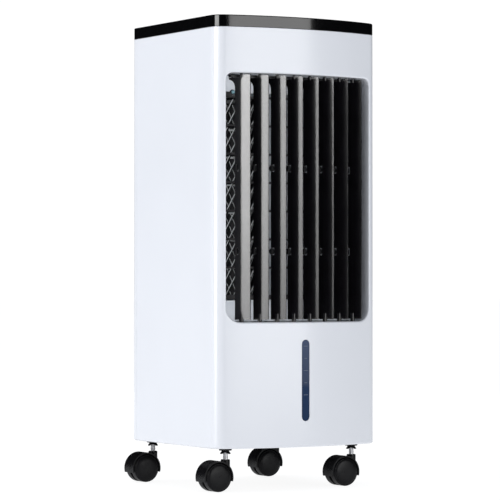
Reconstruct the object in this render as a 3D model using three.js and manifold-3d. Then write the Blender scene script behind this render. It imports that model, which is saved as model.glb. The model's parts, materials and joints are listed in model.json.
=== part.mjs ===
// Household evaporative cooler: a slim tower on four twin-wheel casters.
// Millimetres, +Z up, floor at Z = 0, air leaves towards -Y, the tank and the filter pull out towards +Y.
import * as THREE from "three";
import { mergeVertices } from "three/addons/utils/BufferGeometryUtils.js";
import Module from "manifold-3d";

const wasm = await Module();
wasm.setup();

// ---- Driving dimensions ----

// Body
const WIDTH = 267;
const FLANK_DEPTH = 242; // along Y, without the bowed front
const FRONT_BOW = 23.3; // how far the front stands ahead of the flanks' front edge
const FRONT_CORNER = 21.7; // plan radius
const BACK_CORNER = 12;
const UNDERSIDE = 60; // the body's lower edge above the floor
const BODY_HEIGHT = 600; // lower edge to the top of the black cover
const COVER_HEIGHT = 16.4;
const WALL = 3;
const GAP = 0.3; // between neighbouring pieces
const REAR_SPLIT = 105; // Y of the seam between the front shell and the rear cover

// Air outlet in the front
const OUTLET_HALF_WIDTH = 118;
const OUTLET_BOTTOM = 234.5;
const OUTLET_TOP = 580;
const OUTLET_TOP_CORNER = 10;
const OUTLET_BOTTOM_CORNER = 20;
const SLEEVE_WALL = 2.5;
const SLEEVE_BACK = -100; // Y where the outlet's inner sleeve ends

// Water-level window in the front
const WINDOW_WIDTH = 12.5;
const WINDOW_BOTTOM = 96.3;
const WINDOW_TOP = 209.8;

// Louvers
const LOUVER_COUNT = 8;
const LOUVER_PITCH = 26.4;
const LOUVER_SHIFT = 1.5; // the row stands a little right of the middle
const LOUVER_INSET = 12.8; // pivots behind the bowed front
const LOUVER_REST = THREE.MathUtils.degToRad(34.5); // front edges turned towards +X
const BLADE_FRONT = 13.8; // pivot to front edge
const BLADE_REAR = 9.3; // pivot to rear edge
const BLADE_THICKNESS = 2;
const BLADE_BOTTOM = OUTLET_BOTTOM + 3.5;
const BLADE_TOP = OUTLET_TOP - 2;
const PIVOT_PIN_RADIUS = 2;
const PIVOT_BOSS_RADIUS = 2.5;
const LOWER_BOSS_HEIGHT = 8;
const UPPER_BOSS_HEIGHT = 4;
const PIVOT_COLLAR_RADIUS = 3.2; // rests on the outlet's lower lip
const LEVER_REACH = 18.5; // pivot to the lever ear's tip
const LEVER_PIN = 14; // pivot to the drive pin
const LEVER_HEIGHT = 3;
const HOLLOW_HEIGHT = 12; // of the hollow under the lever ear
const TIE_PIN = 8.1; // pivot to the pins that the tie bars clip on
const LINK_PIN_RADIUS = 1.3;
const BAR_HEIGHT = 3; // of the drive bar
const TIE_HEIGHTS = [UNDERSIDE + 273, UNDERSIDE + 389];
const CLIP_HEIGHT = 8;

// Cross-flow wheel
const WHEEL_X = -45;
const WHEEL_Y = -28;
const WHEEL_RADIUS = 47.5;
const WHEEL_BOTTOM = 269.5;
const WHEEL_TOP = 550;
const WHEEL_SECTIONS = 7;
const WHEEL_BLADES = 6;
const DISC_THICKNESS = 2.4;
const SHAFT_RADIUS = 4;

// Tank bay and deck
const TANK_HALF_WIDTH = 115;
const TANK_FLOOR = 76;
const TANK_RIM = 222;
const DECK_BOTTOM = 227.5;
const DECK_TOP = 230.5;

// Rear: filter opening and cord cleats
const FILTER_HALF_WIDTH = 106;
const FILTER_BOTTOM = 254;
const FILTER_TOP = 556;
const CLEAT_X = 34;
const CLEAT_Z = 601;
const CLEAT_REACH = 16; // behind the rear cover
const CLEAT_POST_RADIUS = 9;
const CLEAT_LIP_RADIUS = 13;
const CORD_OUTLET_X = -84;
const LATCH_Z = 240.5;
const LATCH_PIVOT_RADIUS = 2.2;
const BAY_SILL = 73; // lower edge of the tank's opening in the rear cover

// Casters
const STEM_X = 104.5;
const STEM_FRONT_Y = -100;
const STEM_BACK_Y = 108;
const CASTER_RADIUS = 20;
const CASTER_TRAIL = 17.4; // wheel centre behind the stem
const HOOD_RADIUS = 23;
const HOOD_WIDTH = 26;
const CASTER_WIDTH = 32;
const STEM_RADIUS = 3.25;

// Worked out from the above
const HALF_WIDTH = WIDTH / 2;
const BACK = FLANK_DEPTH / 2;
const FRONT_RADIUS = (HALF_WIDTH ** 2 + FRONT_BOW ** 2) / (2 * FRONT_BOW);
const FRONT_CENTRE_Y = -BACK + FRONT_RADIUS - FRONT_BOW;
const TOP = UNDERSIDE + BODY_HEIGHT;
const COVER_BOTTOM = TOP - COVER_HEIGHT;
const CASTER_OVERHANG = STEM_X + CASTER_TRAIL + HOOD_RADIUS - HALF_WIDTH;

// ---- Solids ----

const TAU = 2 * Math.PI;

function solidOf(geometry) {
  geometry.deleteAttribute("normal");
  geometry.deleteAttribute("uv");
  const merged = mergeVertices(geometry, 1e-4);
  const triVerts = new Uint32Array(merged.index.array);
  const vertProperties = new Float32Array(merged.attributes.position.array);
  return new wasm.Manifold(new wasm.Mesh({ numProp: 3, vertProperties, triVerts }));
}

function geometryOf(solid) {
  const { vertProperties, triVerts } = solid.getMesh();
  const geometry = new THREE.BufferGeometry();
  geometry.setAttribute("position", new THREE.BufferAttribute(vertProperties, 3));
  geometry.setIndex(new THREE.BufferAttribute(triVerts, 1));
  const faceted = geometry.toNonIndexed();
  faceted.computeVertexNormals();
  return faceted;
}

function union(...solids) {
  return solids.reduce((whole, next) => whole.add(next));
}

// A shape with its arcs as straight runs and no doubled points, ready to extrude.
function polygon(shape, divisions) {
  const points = shape.getPoints(divisions);
  const kept = points.filter((p, i) => p.distanceTo(points.at(i - 1)) > 1e-6);
  return new THREE.Shape(kept);
}

function extruded(shape, depth, divisions) {
  return new THREE.ExtrudeGeometry(polygon(shape, divisions), { depth, bevelEnabled: false });
}

// A shape drawn in X and Y, standing from one height to another.
function prismZ(shape, from, to, divisions = 4) {
  return solidOf(extruded(shape, to - from, divisions).translate(0, 0, from));
}

// A shape drawn in X and Z, running from one Y to another.
function prismY(shape, from, to, divisions = 4) {
  const geometry = extruded(shape, to - from, divisions);
  return solidOf(geometry.rotateX(Math.PI / 2).translate(0, to, 0));
}

// A shape drawn in Y and Z, running from one X to another.
function prismX(shape, from, to, divisions = 4) {
  const geometry = extruded(shape, to - from, divisions);
  return solidOf(geometry.rotateX(Math.PI / 2).rotateZ(Math.PI / 2).translate(from, 0, 0));
}

function box(x0, x1, y0, y1, z0, z1) {
  const geometry = new THREE.BoxGeometry(x1 - x0, y1 - y0, z1 - z0);
  return solidOf(geometry.translate((x0 + x1) / 2, (y0 + y1) / 2, (z0 + z1) / 2));
}

// An upright cylinder, with a flat facet facing each axis.
function postZ(x, y, radius, from, to, sides = 16) {
  const geometry = new THREE.CylinderGeometry(radius, radius, to - from, sides);
  geometry.rotateY(Math.PI / sides).rotateX(Math.PI / 2);
  return solidOf(geometry.translate(x, y, (from + to) / 2));
}

function postY(x, z, radius, from, to, sides = 16) {
  const geometry = new THREE.CylinderGeometry(radius, radius, to - from, sides);
  geometry.rotateY(Math.PI / sides);
  return solidOf(geometry.translate(x, (from + to) / 2, z));
}

// ---- Shapes ----

function roundedRectangle(x0, x1, y0, y1, lowCorner, highCorner) {
  const shape = new THREE.Shape();
  shape.absarc(x1 - lowCorner, y0 + lowCorner, lowCorner, -Math.PI / 2, 0);
  shape.absarc(x1 - highCorner, y1 - highCorner, highCorner, 0, Math.PI / 2);
  shape.absarc(x0 + highCorner, y1 - highCorner, highCorner, Math.PI / 2, Math.PI);
  shape.absarc(x0 + lowCorner, y0 + lowCorner, lowCorner, Math.PI, 1.5 * Math.PI);
  return shape;
}

// The body's plan: flat flanks and back, a bowed front and rounded corners.
function bodyPlan(halfWidth, frontInset, frontCorner, back, backCorner) {
  const bow = FRONT_RADIUS - frontInset;
  const cornerX = halfWidth - frontCorner;
  const cornerY = FRONT_CENTRE_Y - Math.sqrt((bow - frontCorner) ** 2 - cornerX ** 2);
  const lean = Math.asin(cornerX / (bow - frontCorner));
  const ahead = 1.5 * Math.PI;
  const plan = new THREE.Shape();
  plan.absarc(halfWidth - backCorner, back - backCorner, backCorner, 0, Math.PI / 2);
  plan.absarc(backCorner - halfWidth, back - backCorner, backCorner, Math.PI / 2, Math.PI);
  plan.absarc(-cornerX, cornerY, frontCorner, Math.PI, ahead - lean);
  plan.absarc(0, FRONT_CENTRE_Y, bow, ahead - lean, ahead + lean);
  plan.absarc(cornerX, cornerY, frontCorner, ahead + lean, TAU);
  return plan;
}

// The same outline, moved inwards all round.
function insetPlan(inset) {
  return bodyPlan(HALF_WIDTH - inset, inset, FRONT_CORNER - inset, BACK - inset, BACK_CORNER - inset);
}

// A strip of even thickness to the left of a line of points.
function ribbon(points, thickness) {
  const shifted = points.map((point, i) => {
    const before = points[Math.max(i - 1, 0)];
    const after = points[Math.min(i + 1, points.length - 1)];
    const along = after.clone().sub(before).normalize();
    return new THREE.Vector2(point.x - thickness * along.y, point.y + thickness * along.x);
  });
  return new THREE.Shape([...points, ...shifted.reverse()]);
}

// ---- Materials ----

const finish = (color, roughness, metalness = 0) =>
  new THREE.MeshStandardMaterial({ color, roughness, metalness });

const whitePlastic = finish(0xe9eaf0, 0.4);
const blackGloss = finish(0x0c0c0e, 0.12);
const blackPlastic = finish(0x141416, 0.45);
const greyPlastic = finish(0x8d9096, 0.5);
const tankPlastic = finish(0xcfd6dc, 0.3);
const blueWindow = finish(0x2c5078, 0.1);
const steel = finish(0xb4b6ba, 0.3, 1);
const motorMetal = finish(0x9a9ca0, 0.4, 0.8);
const rubber = finish(0x1b1b1d, 0.8);
const padBrown = finish(0x8a6a44, 0.9);
const filterMesh = finish(0x3a3c40, 0.8);
const boardGreen = finish(0x1f5a3a, 0.6);

const cooler = new THREE.Group();

function add(name, solid, material, parent = cooler) {
  const mesh = new THREE.Mesh(geometryOf(solid), material);
  mesh.name = name;
  parent.add(mesh);
  return mesh;
}

// ---- Louver places ----

const louverNumbers = Array.from({ length: LOUVER_COUNT }, (_, i) => i + 1);

function louverPivot(number) {
  const x = (number - (LOUVER_COUNT + 1) / 2) * LOUVER_PITCH + LOUVER_SHIFT;
  const y = FRONT_CENTRE_Y - Math.sqrt((FRONT_RADIUS - LOUVER_INSET) ** 2 - x ** 2);
  return new THREE.Vector2(x, y);
}

// Where a pin stands at rest, a given distance behind its louver's pivot.
function linkPin(number, distance) {
  const behind = new THREE.Vector2(0, distance).rotateAround(new THREE.Vector2(), LOUVER_REST);
  return louverPivot(number).add(behind);
}

// ---- Casings ----

function outletShape(grow) {
  return roundedRectangle(
    -OUTLET_HALF_WIDTH - grow,
    OUTLET_HALF_WIDTH + grow,
    OUTLET_BOTTOM - grow,
    OUTLET_TOP + grow,
    OUTLET_BOTTOM_CORNER + grow,
    OUTLET_TOP_CORNER + grow,
  );
}

function windowShape(shrink) {
  const half = WINDOW_WIDTH / 2 - shrink;
  return roundedRectangle(-half, half, WINDOW_BOTTOM + shrink, WINDOW_TOP - shrink, half, half);
}

function frontShell() {
  const top = COVER_BOTTOM - GAP;
  const ahead = -BACK - 2 * FRONT_BOW; // clear in front of the body
  const outside = prismZ(insetPlan(0), UNDERSIDE, top);
  const inside = prismZ(insetPlan(WALL), UNDERSIDE - 1, top + 1);
  const rear = box(-WIDTH, WIDTH, REAR_SPLIT, 2 * BACK, 0, TOP);
  const sleeve = prismY(outletShape(SLEEVE_WALL), ahead, SLEEVE_BACK).intersect(outside);
  const pinHole = PIVOT_PIN_RADIUS + 0.6;
  const pinHoles = louverNumbers.map((number) => {
    const { x, y } = louverPivot(number);
    return postZ(x, y, pinHole, OUTLET_BOTTOM - 5, OUTLET_TOP + 5, 6);
  });
  return outside
    .subtract(inside)
    .subtract(rear)
    .add(sleeve)
    .subtract(prismY(outletShape(0), ahead, SLEEVE_BACK + 1))
    .subtract(prismY(windowShape(0), ahead, -BACK))
    .subtract(union(...pinHoles));
}

function cleat(x) {
  const end = BACK + CLEAT_REACH;
  const lipThickness = 2;
  const post = postY(x, CLEAT_Z, CLEAT_POST_RADIUS, BACK - 1, end, 12);
  const lip = postY(x, CLEAT_Z, CLEAT_LIP_RADIUS, end - lipThickness, end, 12);
  return post.add(lip);
}

function rearCover() {
  const top = COVER_BOTTOM - GAP;
  const front = REAR_SPLIT + GAP;
  const pocketFront = 78; // the pad's pocket reaches this far in
  const pocketWall = 2.5;
  const outside = prismZ(insetPlan(0), UNDERSIDE, top);
  const inside = prismZ(insetPlan(WALL), UNDERSIDE - 1, top + 1);
  const ahead = box(-WIDTH, WIDTH, -2 * BACK, front, 0, TOP);
  const side = FILTER_HALF_WIDTH + 0.5;
  const low = FILTER_BOTTOM - 0.5;
  const high = FILTER_TOP + 0.5;
  const bayHalf = TANK_HALF_WIDTH + 2;
  const cordHole = 4.2;
  const pocket = box(
    -side - pocketWall,
    side + pocketWall,
    pocketFront,
    BACK - 1,
    low - pocketWall,
    high + pocketWall,
  );
  return union(outside.subtract(inside).subtract(ahead), pocket, cleat(-CLEAT_X), cleat(CLEAT_X))
    .subtract(box(-side, side, 0, 2 * BACK, low, high))
    .subtract(box(-bayHalf, bayHalf, 0, 2 * BACK, BAY_SILL, DECK_BOTTOM))
    .subtract(postY(CORD_OUTLET_X, CLEAT_Z, cordHole, BACK - 5, BACK + 1, 8))
    .subtract(postY(0, LATCH_Z, LATCH_PIVOT_RADIUS + 0.6, BACK - 5, BACK + 1, 8));
}

function casterPlaces() {
  return [
    ["front_left", -STEM_X, STEM_FRONT_Y],
    ["front_right", STEM_X, STEM_FRONT_Y],
    ["rear_left", -STEM_X, STEM_BACK_Y],
    ["rear_right", STEM_X, STEM_BACK_Y],
  ];
}

function basePlate() {
  const top = 65;
  const railX = 80; // the tank slides on two rails
  const railHalf = 6;
  const socketRadius = 9;
  const neckRadius = 5.2;
  const skirtRadius = 7.3;
  const plate = prismZ(insetPlan(WALL + 0.6), UNDERSIDE + 0.2, top);
  const rails = [-railX, railX].map((x) =>
    box(x - railHalf, x + railHalf, -110, 105, top - 1, TANK_FLOOR - GAP),
  );
  const sockets = casterPlaces().map(([, x, y]) =>
    union(
      postZ(x, y, socketRadius, UNDERSIDE - 2.4, top + 5, 10),
      postZ(x, y, neckRadius, UNDERSIDE - 6, UNDERSIDE, 8),
      postZ(x, y, skirtRadius, UNDERSIDE - 7, UNDERSIDE - 5.4, 10),
    ),
  );
  const holes = casterPlaces().map(([, x, y]) => postZ(x, y, STEM_RADIUS + 0.5, 50, 75, 8));
  return union(plate, ...rails, ...sockets).subtract(union(...holes));
}

const BUTTONS = ["power", "speed", "swing", "cool"];
const BUTTON_RADIUS = 6.5;
const BUTTON_PITCH = 26;
const BUTTON_Y = -98;
const COVER_SKIN = 2.5;
const LENS_HALF_WIDTH = 32;
const LENS_HALF_DEPTH = 10;
const LENS_Y = -68;

function buttonX(index) {
  return (index - (BUTTONS.length - 1) / 2) * BUTTON_PITCH;
}

function topCover() {
  const cap = prismZ(insetPlan(0), COVER_BOTTOM, TOP);
  const hollow = prismZ(insetPlan(WALL), COVER_BOTTOM - 1, TOP - COVER_SKIN);
  const buttonHoles = BUTTONS.map((_, i) =>
    postZ(buttonX(i), BUTTON_Y, BUTTON_RADIUS + GAP, TOP - 5, TOP + 1, 12),
  );
  const lensHole = box(
    -LENS_HALF_WIDTH - GAP,
    LENS_HALF_WIDTH + GAP,
    LENS_Y - LENS_HALF_DEPTH - GAP,
    LENS_Y + LENS_HALF_DEPTH + GAP,
    TOP - 5,
    TOP + 1,
  );
  return cap.subtract(union(hollow, lensHole, ...buttonHoles));
}

function topButton() {
  const depth = 9;
  const sunk = 0.2; // below the cover's face
  const flangeTop = TOP - COVER_SKIN - GAP;
  const key = postZ(0, 0, BUTTON_RADIUS, TOP - depth, TOP - sunk, 12);
  const flange = postZ(0, 0, BUTTON_RADIUS + 1.8, flangeTop - 1.8, flangeTop, 12);
  return key.add(flange);
}

function displayLens() {
  const flange = 2;
  const low = TOP - COVER_SKIN - GAP;
  const pane = box(
    -LENS_HALF_WIDTH,
    LENS_HALF_WIDTH,
    LENS_Y - LENS_HALF_DEPTH,
    LENS_Y + LENS_HALF_DEPTH,
    low - 1,
    TOP - 0.1,
  );
  const rim = box(
    -LENS_HALF_WIDTH - flange,
    LENS_HALF_WIDTH + flange,
    LENS_Y - LENS_HALF_DEPTH - flange,
    LENS_Y + LENS_HALF_DEPTH + flange,
    low - 1.5,
    low,
  );
  return pane.add(rim);
}

function levelWindow() {
  const front = FRONT_CENTRE_Y - FRONT_RADIUS;
  const innerFace = front + WALL + 0.4;
  const pane = prismY(windowShape(GAP), front + 0.4, innerFace + 1);
  const rim = prismY(windowShape(-2.5), innerFace, innerFace + 1.8);
  return pane.add(rim);
}

// ---- Water ----

function waterTank() {
  const frontInset = 10;
  const frontCorner = 12;
  const back = 113;
  const outer = bodyPlan(TANK_HALF_WIDTH, frontInset, frontCorner, back, 3);
  const inner = bodyPlan(
    TANK_HALF_WIDTH - WALL,
    frontInset + WALL,
    frontCorner - WALL,
    back - WALL,
    2,
  );
  const shell = prismZ(outer, TANK_FLOOR, TANK_RIM).subtract(
    prismZ(inner, TANK_FLOOR + WALL, TANK_RIM + 1),
  );
  const panelHalf = TANK_HALF_WIDTH + 1;
  const rearPanel = box(-panelHalf, panelHalf, back - 1, BACK - GAP, BAY_SILL + 1.5, DECK_BOTTOM - 2.5);
  const gripHalf = 48;
  const gripDepth = 7;
  const grip = box(-gripHalf, gripHalf, BACK - gripDepth, BACK + 1, 178, 210);
  return shell.add(rearPanel).subtract(grip);
}

// At rest the arm lies level, clear of the tank. Turned down, it stands behind the tank's rear panel.
function tankLatch() {
  const near = BACK + 0.5;
  const knobRadius = 8;
  const armReach = 26;
  const armHalf = 4.5;
  const knob = postY(0, LATCH_Z, knobRadius, near, near + 5.5, 16);
  const arm = box(0, armReach, near, near + 3.5, LATCH_Z - armHalf, LATCH_Z + armHalf);
  const pivot = postY(0, LATCH_Z, LATCH_PIVOT_RADIUS, BACK - 6, BACK + 1, 8);
  return union(knob, arm, pivot);
}

const PUMP_X = 66;
const PUMP_Y = 82;
const PUMP_TOP = 130;
const HOSE_RADIUS = 4.5;

function tankDeck() {
  const panel = prismZ(insetPlan(WALL + 0.6), DECK_BOTTOM, DECK_TOP);
  return panel.subtract(postZ(PUMP_X, PUMP_Y, HOSE_RADIUS + 4, DECK_BOTTOM - 1, DECK_TOP + 1, 12));
}

function pump() {
  const halfWidth = 25;
  const halfDepth = 21;
  const bottom = 84;
  const body = box(
    PUMP_X - halfWidth,
    PUMP_X + halfWidth,
    PUMP_Y - halfDepth,
    PUMP_Y + halfDepth,
    bottom,
    PUMP_TOP,
  );
  const nozzle = postZ(PUMP_X, PUMP_Y, 4, PUMP_TOP - 1, PUMP_TOP + 8, 10);
  const hanger = box(PUMP_X - 24, PUMP_X - 16, PUMP_Y - 8, PUMP_Y + 8, PUMP_TOP - 1, DECK_BOTTOM - GAP);
  return union(body, nozzle, hanger);
}

// Up through the deck, across to the right flank, up beside the pad and over into the distributor.
function pumpHose() {
  const riserX = 117;
  const riserY = 90;
  const route = new THREE.CatmullRomCurve3([
    new THREE.Vector3(PUMP_X, PUMP_Y, PUMP_TOP + 8.4),
    new THREE.Vector3(PUMP_X, PUMP_Y, 200),
    new THREE.Vector3(PUMP_X, PUMP_Y, 228),
    new THREE.Vector3(78, 83, 240),
    new THREE.Vector3(108, 88, 242),
    new THREE.Vector3(riserX, riserY, 256),
    new THREE.Vector3(riserX, riserY, 300),
    new THREE.Vector3(riserX, riserY, 540),
    new THREE.Vector3(riserX, riserY, 574),
    new THREE.Vector3(riserX - 10, riserY, 587),
    new THREE.Vector3(riserX - 22, riserY, 585),
    new THREE.Vector3(riserX - 25, riserY, 571),
  ]);
  const ring = new THREE.Shape();
  ring.absarc(0, 0, HOSE_RADIUS, 0, TAU);
  const geometry = new THREE.ExtrudeGeometry(polygon(ring, 3), {
    steps: 26,
    extrudePath: route,
    bevelEnabled: false,
  });
  return solidOf(geometry);
}

const PAD_FRONT = 80;
const PAD_BACK = 100;

function coolingPad() {
  const side = FILTER_HALF_WIDTH - 0.5;
  return box(-side, side, PAD_FRONT, PAD_BACK, FILTER_BOTTOM + 0.5, FILTER_TOP - 0.5);
}

function waterDistributor() {
  const half = 104;
  const skin = 2;
  const bottom = FILTER_TOP + 3.5;
  const height = 14;
  const trough = box(-half, half, PAD_FRONT, PAD_BACK, bottom, bottom + height);
  const hollow = box(
    -half + skin,
    half - skin,
    PAD_FRONT + skin,
    PAD_BACK - skin,
    bottom + skin,
    bottom + height - 3,
  );
  const inlet = box(84, 100, PAD_FRONT + 4, PAD_BACK - 4, bottom + height - 4, bottom + height + 1);
  return trough.subtract(hollow).subtract(inlet);
}

// ---- Rear filter ----

function rearFilterFrame() {
  const side = FILTER_HALF_WIDTH;
  const rim = 12;
  const front = 108;
  const back = BACK - 0.2;
  const outer = box(-side, side, front, back, FILTER_BOTTOM, FILTER_TOP);
  const window = box(-side + rim, side - rim, front - 1, back + 1, FILTER_BOTTOM + rim, FILTER_TOP - rim);
  const slatCount = 9;
  const slatPitch = (FILTER_TOP - FILTER_BOTTOM - 2 * rim) / (slatCount + 1);
  const slats = Array.from({ length: slatCount }, (_, i) => {
    const z = FILTER_BOTTOM + rim + (i + 1) * slatPitch;
    return box(-side + rim - 1, side - rim + 1, back - 6, back, z - 2.5, z + 2.5);
  });
  const mullions = [-32, 32].map((x) =>
    box(x - 1.5, x + 1.5, back - 8, back - 1, FILTER_BOTTOM + rim - 1, FILTER_TOP - rim + 1),
  );
  return union(outer.subtract(window), ...slats, ...mullions);
}

function dustFilter() {
  const side = FILTER_HALF_WIDTH - 2;
  return box(-side, side, 104, 107, FILTER_BOTTOM + 2, FILTER_TOP - 2);
}

// ---- Fan ----

const MOTOR_NOSE_TOP = 257;
const CASING_FLOOR = 262;
const CASING_CEILING = 552.5;
const CASING_PLATE = 2.5;
const CASING_FRONT = SLEEVE_BACK + 0.6;

function onWheel(radius, degrees) {
  const angle = THREE.MathUtils.degToRad(degrees);
  return new THREE.Vector2(WHEEL_X + radius * Math.cos(angle), WHEEL_Y + radius * Math.sin(angle));
}

// The scroll wall starts close to the wheel's back, widens round its right side and runs to the outlet.
function scrollLine() {
  const outletEdge = new THREE.Vector2(OUTLET_HALF_WIDTH, CASING_FRONT);
  return new THREE.SplineCurve([
    onWheel(53, 100),
    onWheel(62, 65),
    onWheel(80, 35),
    onWheel(106, 10),
    new THREE.Vector2(92, -54),
    outletEdge,
  ]).getPoints(12);
}

function tongueLine() {
  return [onWheel(53, 205), onWheel(57, 215), new THREE.Vector2(-OUTLET_HALF_WIDTH, CASING_FRONT)];
}

function casingPlan() {
  const inletArc = Array.from({ length: 7 }, (_, i) => onWheel(53, 100 + (105 / 8) * (i + 1)));
  return new THREE.Shape([...tongueLine().reverse(), ...inletArc.reverse(), ...scrollLine()]);
}

function scrollCasing() {
  const low = OUTLET_BOTTOM + 1;
  const high = OUTLET_TOP - 1;
  const walls = [ribbon(scrollLine(), SLEEVE_WALL), ribbon(tongueLine().reverse(), SLEEVE_WALL)];
  const behindGuard = box(-WIDTH, WIDTH, CASING_FRONT + 4.5, BACK, 0, TOP);
  const plates = [CASING_FLOOR, CASING_CEILING].map((z) =>
    prismZ(casingPlan(), z, z + CASING_PLATE).intersect(behindGuard),
  );
  const fasciaSpan = [-114, 104];
  const fasciaY = -84;
  const fascias = [
    [low, CASING_FLOOR + 1],
    [CASING_CEILING + 1, high],
  ].map(([from, to]) => box(...fasciaSpan, fasciaY, fasciaY + CASING_PLATE, from, to));
  const wallSolids = walls.map((wall) => prismZ(wall, low, high));
  const holes = postZ(WHEEL_X, WHEEL_Y, 8, low, high, 12);
  return union(...plates, ...wallSolids, ...fascias).subtract(holes);
}

// The undersides of the wheel's discs.
function discHeights() {
  const pitch = (WHEEL_TOP - WHEEL_BOTTOM - DISC_THICKNESS) / WHEEL_SECTIONS;
  return Array.from({ length: WHEEL_SECTIONS + 1 }, (_, i) => WHEEL_BOTTOM + i * pitch);
}

function crossflowWheel() {
  const discs = discHeights().map((z) => postZ(0, 0, WHEEL_RADIUS, z, z + DISC_THICKNESS, 12));
  const inner = WHEEL_RADIUS - 11;
  const outer = WHEEL_RADIUS - 2;
  const half = 0.8;
  const blade = box(inner, outer, -half, half, WHEEL_BOTTOM + 1, WHEEL_TOP - 1);
  const step = 360 / WHEEL_BLADES;
  const blades = Array.from({ length: WHEEL_BLADES }, (_, i) => blade.rotate([0, 0, step * i]));
  const topPin = postZ(0, 0, 3, WHEEL_TOP - 1, WHEEL_TOP + 11, 12);
  const boreTop = WHEEL_BOTTOM + DISC_THICKNESS + 1;
  const bore = postZ(0, 0, SHAFT_RADIUS + GAP, WHEEL_BOTTOM - 1, boreTop, 12);
  return union(...discs, ...blades, topPin).subtract(bore);
}

function fanShaft() {
  return postZ(WHEEL_X, WHEEL_Y, SHAFT_RADIUS, MOTOR_NOSE_TOP + GAP, WHEEL_BOTTOM + 3, 12);
}

function fanMotor() {
  const bottom = 233;
  const top = 254;
  const bodyRadius = 38;
  const noseRadius = 14;
  const body = postZ(WHEEL_X, WHEEL_Y, bodyRadius, bottom, top, 20);
  const nose = postZ(WHEEL_X, WHEEL_Y, noseRadius, top - 1, MOTOR_NOSE_TOP, 16);
  return body.add(nose);
}

function motorBracket() {
  const reach = 58;
  const halfWidth = 8;
  const bottom = DECK_TOP + GAP;
  const arm = box(-reach, reach, -halfWidth, halfWidth, bottom, bottom + 1.8);
  const arms = [45, 135].map((degrees) => arm.rotate([0, 0, degrees]).translate([WHEEL_X, WHEEL_Y, 0]));
  return union(...arms);
}

function topBearing() {
  const bottom = CASING_CEILING + CASING_PLATE + GAP;
  const height = 7;
  const radius = 12;
  const bore = 3.4;
  const reach = 24;
  const halfWidth = 6;
  const ring = postZ(WHEEL_X, WHEEL_Y, radius, bottom, bottom + height, 16);
  const strap = box(
    WHEEL_X - reach,
    WHEEL_X + reach,
    WHEEL_Y - halfWidth,
    WHEEL_Y + halfWidth,
    bottom,
    bottom + 2,
  );
  return ring.add(strap).subtract(postZ(WHEEL_X, WHEEL_Y, bore, bottom - 1, bottom + height + 1, 12));
}

// Ribs across the outlet at the heights of the wheel's discs, on two end posts. The lowest is a deeper
// rail, and a lug with a screw holds the upper left corner.
function outletGuard() {
  const front = CASING_FRONT + 0.9;
  const back = front + 3;
  const side = OUTLET_HALF_WIDTH - 4.5;
  const postWidth = 3;
  const ribHalf = 1.5;
  const railDrop = 4.5;
  const low = OUTLET_BOTTOM + 2;
  const high = OUTLET_TOP - 2;
  const lugTop = 555.5;
  const screwX = -91.5;
  const screwZ = 555.3;
  const posts = [-side, side - postWidth].map((x) => box(x, x + postWidth, front, back, low, high));
  const ribs = discHeights().map((disc, i) => {
    const z = disc + DISC_THICKNESS / 2;
    const drop = i === 0 ? railDrop : ribHalf;
    return box(-side, side, front, back, z - drop, z + ribHalf);
  });
  const lug = box(-side, screwX, front, back, WHEEL_TOP - 1, lugTop);
  const eye = postY(screwX, screwZ, 3.6, front, back, 12);
  const screw = postY(screwX, screwZ, 2.7, front - 1.6, front + 1, 12);
  return union(...posts, ...ribs, lug, eye, screw);
}

// ---- Louver blades and the bars that turn them together ----

// The blade seen from its side: Y from the front edge to the rear edge, Z up.
function bladeProfile() {
  const leverTop = BLADE_TOP - BAR_HEIGHT - 0.6;
  const leverBottom = leverTop - LEVER_HEIGHT;
  const notchDepth = 5.2;
  const notchHalf = CLIP_HEIGHT / 2 + 1;
  const hollowBottom = leverBottom - HOLLOW_HEIGHT;
  const hollowDepth = LEVER_REACH - BLADE_REAR;
  const profile = new THREE.Shape();
  profile.moveTo(-BLADE_FRONT, BLADE_BOTTOM);
  profile.lineTo(BLADE_REAR, BLADE_BOTTOM);
  for (const z of TIE_HEIGHTS) {
    profile.lineTo(BLADE_REAR, z - notchHalf);
    profile.lineTo(BLADE_REAR - notchDepth, z - notchHalf);
    profile.lineTo(BLADE_REAR - notchDepth, z + notchHalf);
    profile.lineTo(BLADE_REAR, z + notchHalf);
  }
  profile.absellipse(LEVER_REACH, hollowBottom, hollowDepth, HOLLOW_HEIGHT, Math.PI, Math.PI / 2, true);
  profile.lineTo(LEVER_REACH, leverTop);
  profile.lineTo(3, leverTop);
  profile.lineTo(3, BLADE_TOP);
  profile.lineTo(-BLADE_FRONT, BLADE_TOP);
  return profile;
}

function louver() {
  const half = BLADE_THICKNESS / 2;
  const leverTop = BLADE_TOP - BAR_HEIGHT - 0.6;
  const plate = prismX(bladeProfile(), -half, half, 2);
  const ends = [
    postZ(0, 0, PIVOT_BOSS_RADIUS, BLADE_BOTTOM, BLADE_BOTTOM + LOWER_BOSS_HEIGHT, 6),
    postZ(0, 0, PIVOT_COLLAR_RADIUS, OUTLET_BOTTOM + GAP, BLADE_BOTTOM + 0.5, 10),
    postZ(0, 0, PIVOT_BOSS_RADIUS, BLADE_TOP - UPPER_BOSS_HEIGHT, BLADE_TOP, 6),
    postZ(0, 0, PIVOT_PIN_RADIUS, OUTLET_BOTTOM - 4, BLADE_BOTTOM + 1, 6),
    postZ(0, 0, PIVOT_PIN_RADIUS, BLADE_TOP - 1, OUTLET_TOP + 4, 6),
  ];
  const drivePin = postZ(0, LEVER_PIN, LINK_PIN_RADIUS, leverTop - 1, BLADE_TOP + 0.5, 6);
  const tiePins = TIE_HEIGHTS.map((z) =>
    postZ(0, TIE_PIN, LINK_PIN_RADIUS * 0.9, z - CLIP_HEIGHT / 2 - 1.5, z + CLIP_HEIGHT / 2 + 1.5, 6),
  );
  return union(plate, ...ends, drivePin, ...tiePins);
}

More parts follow.
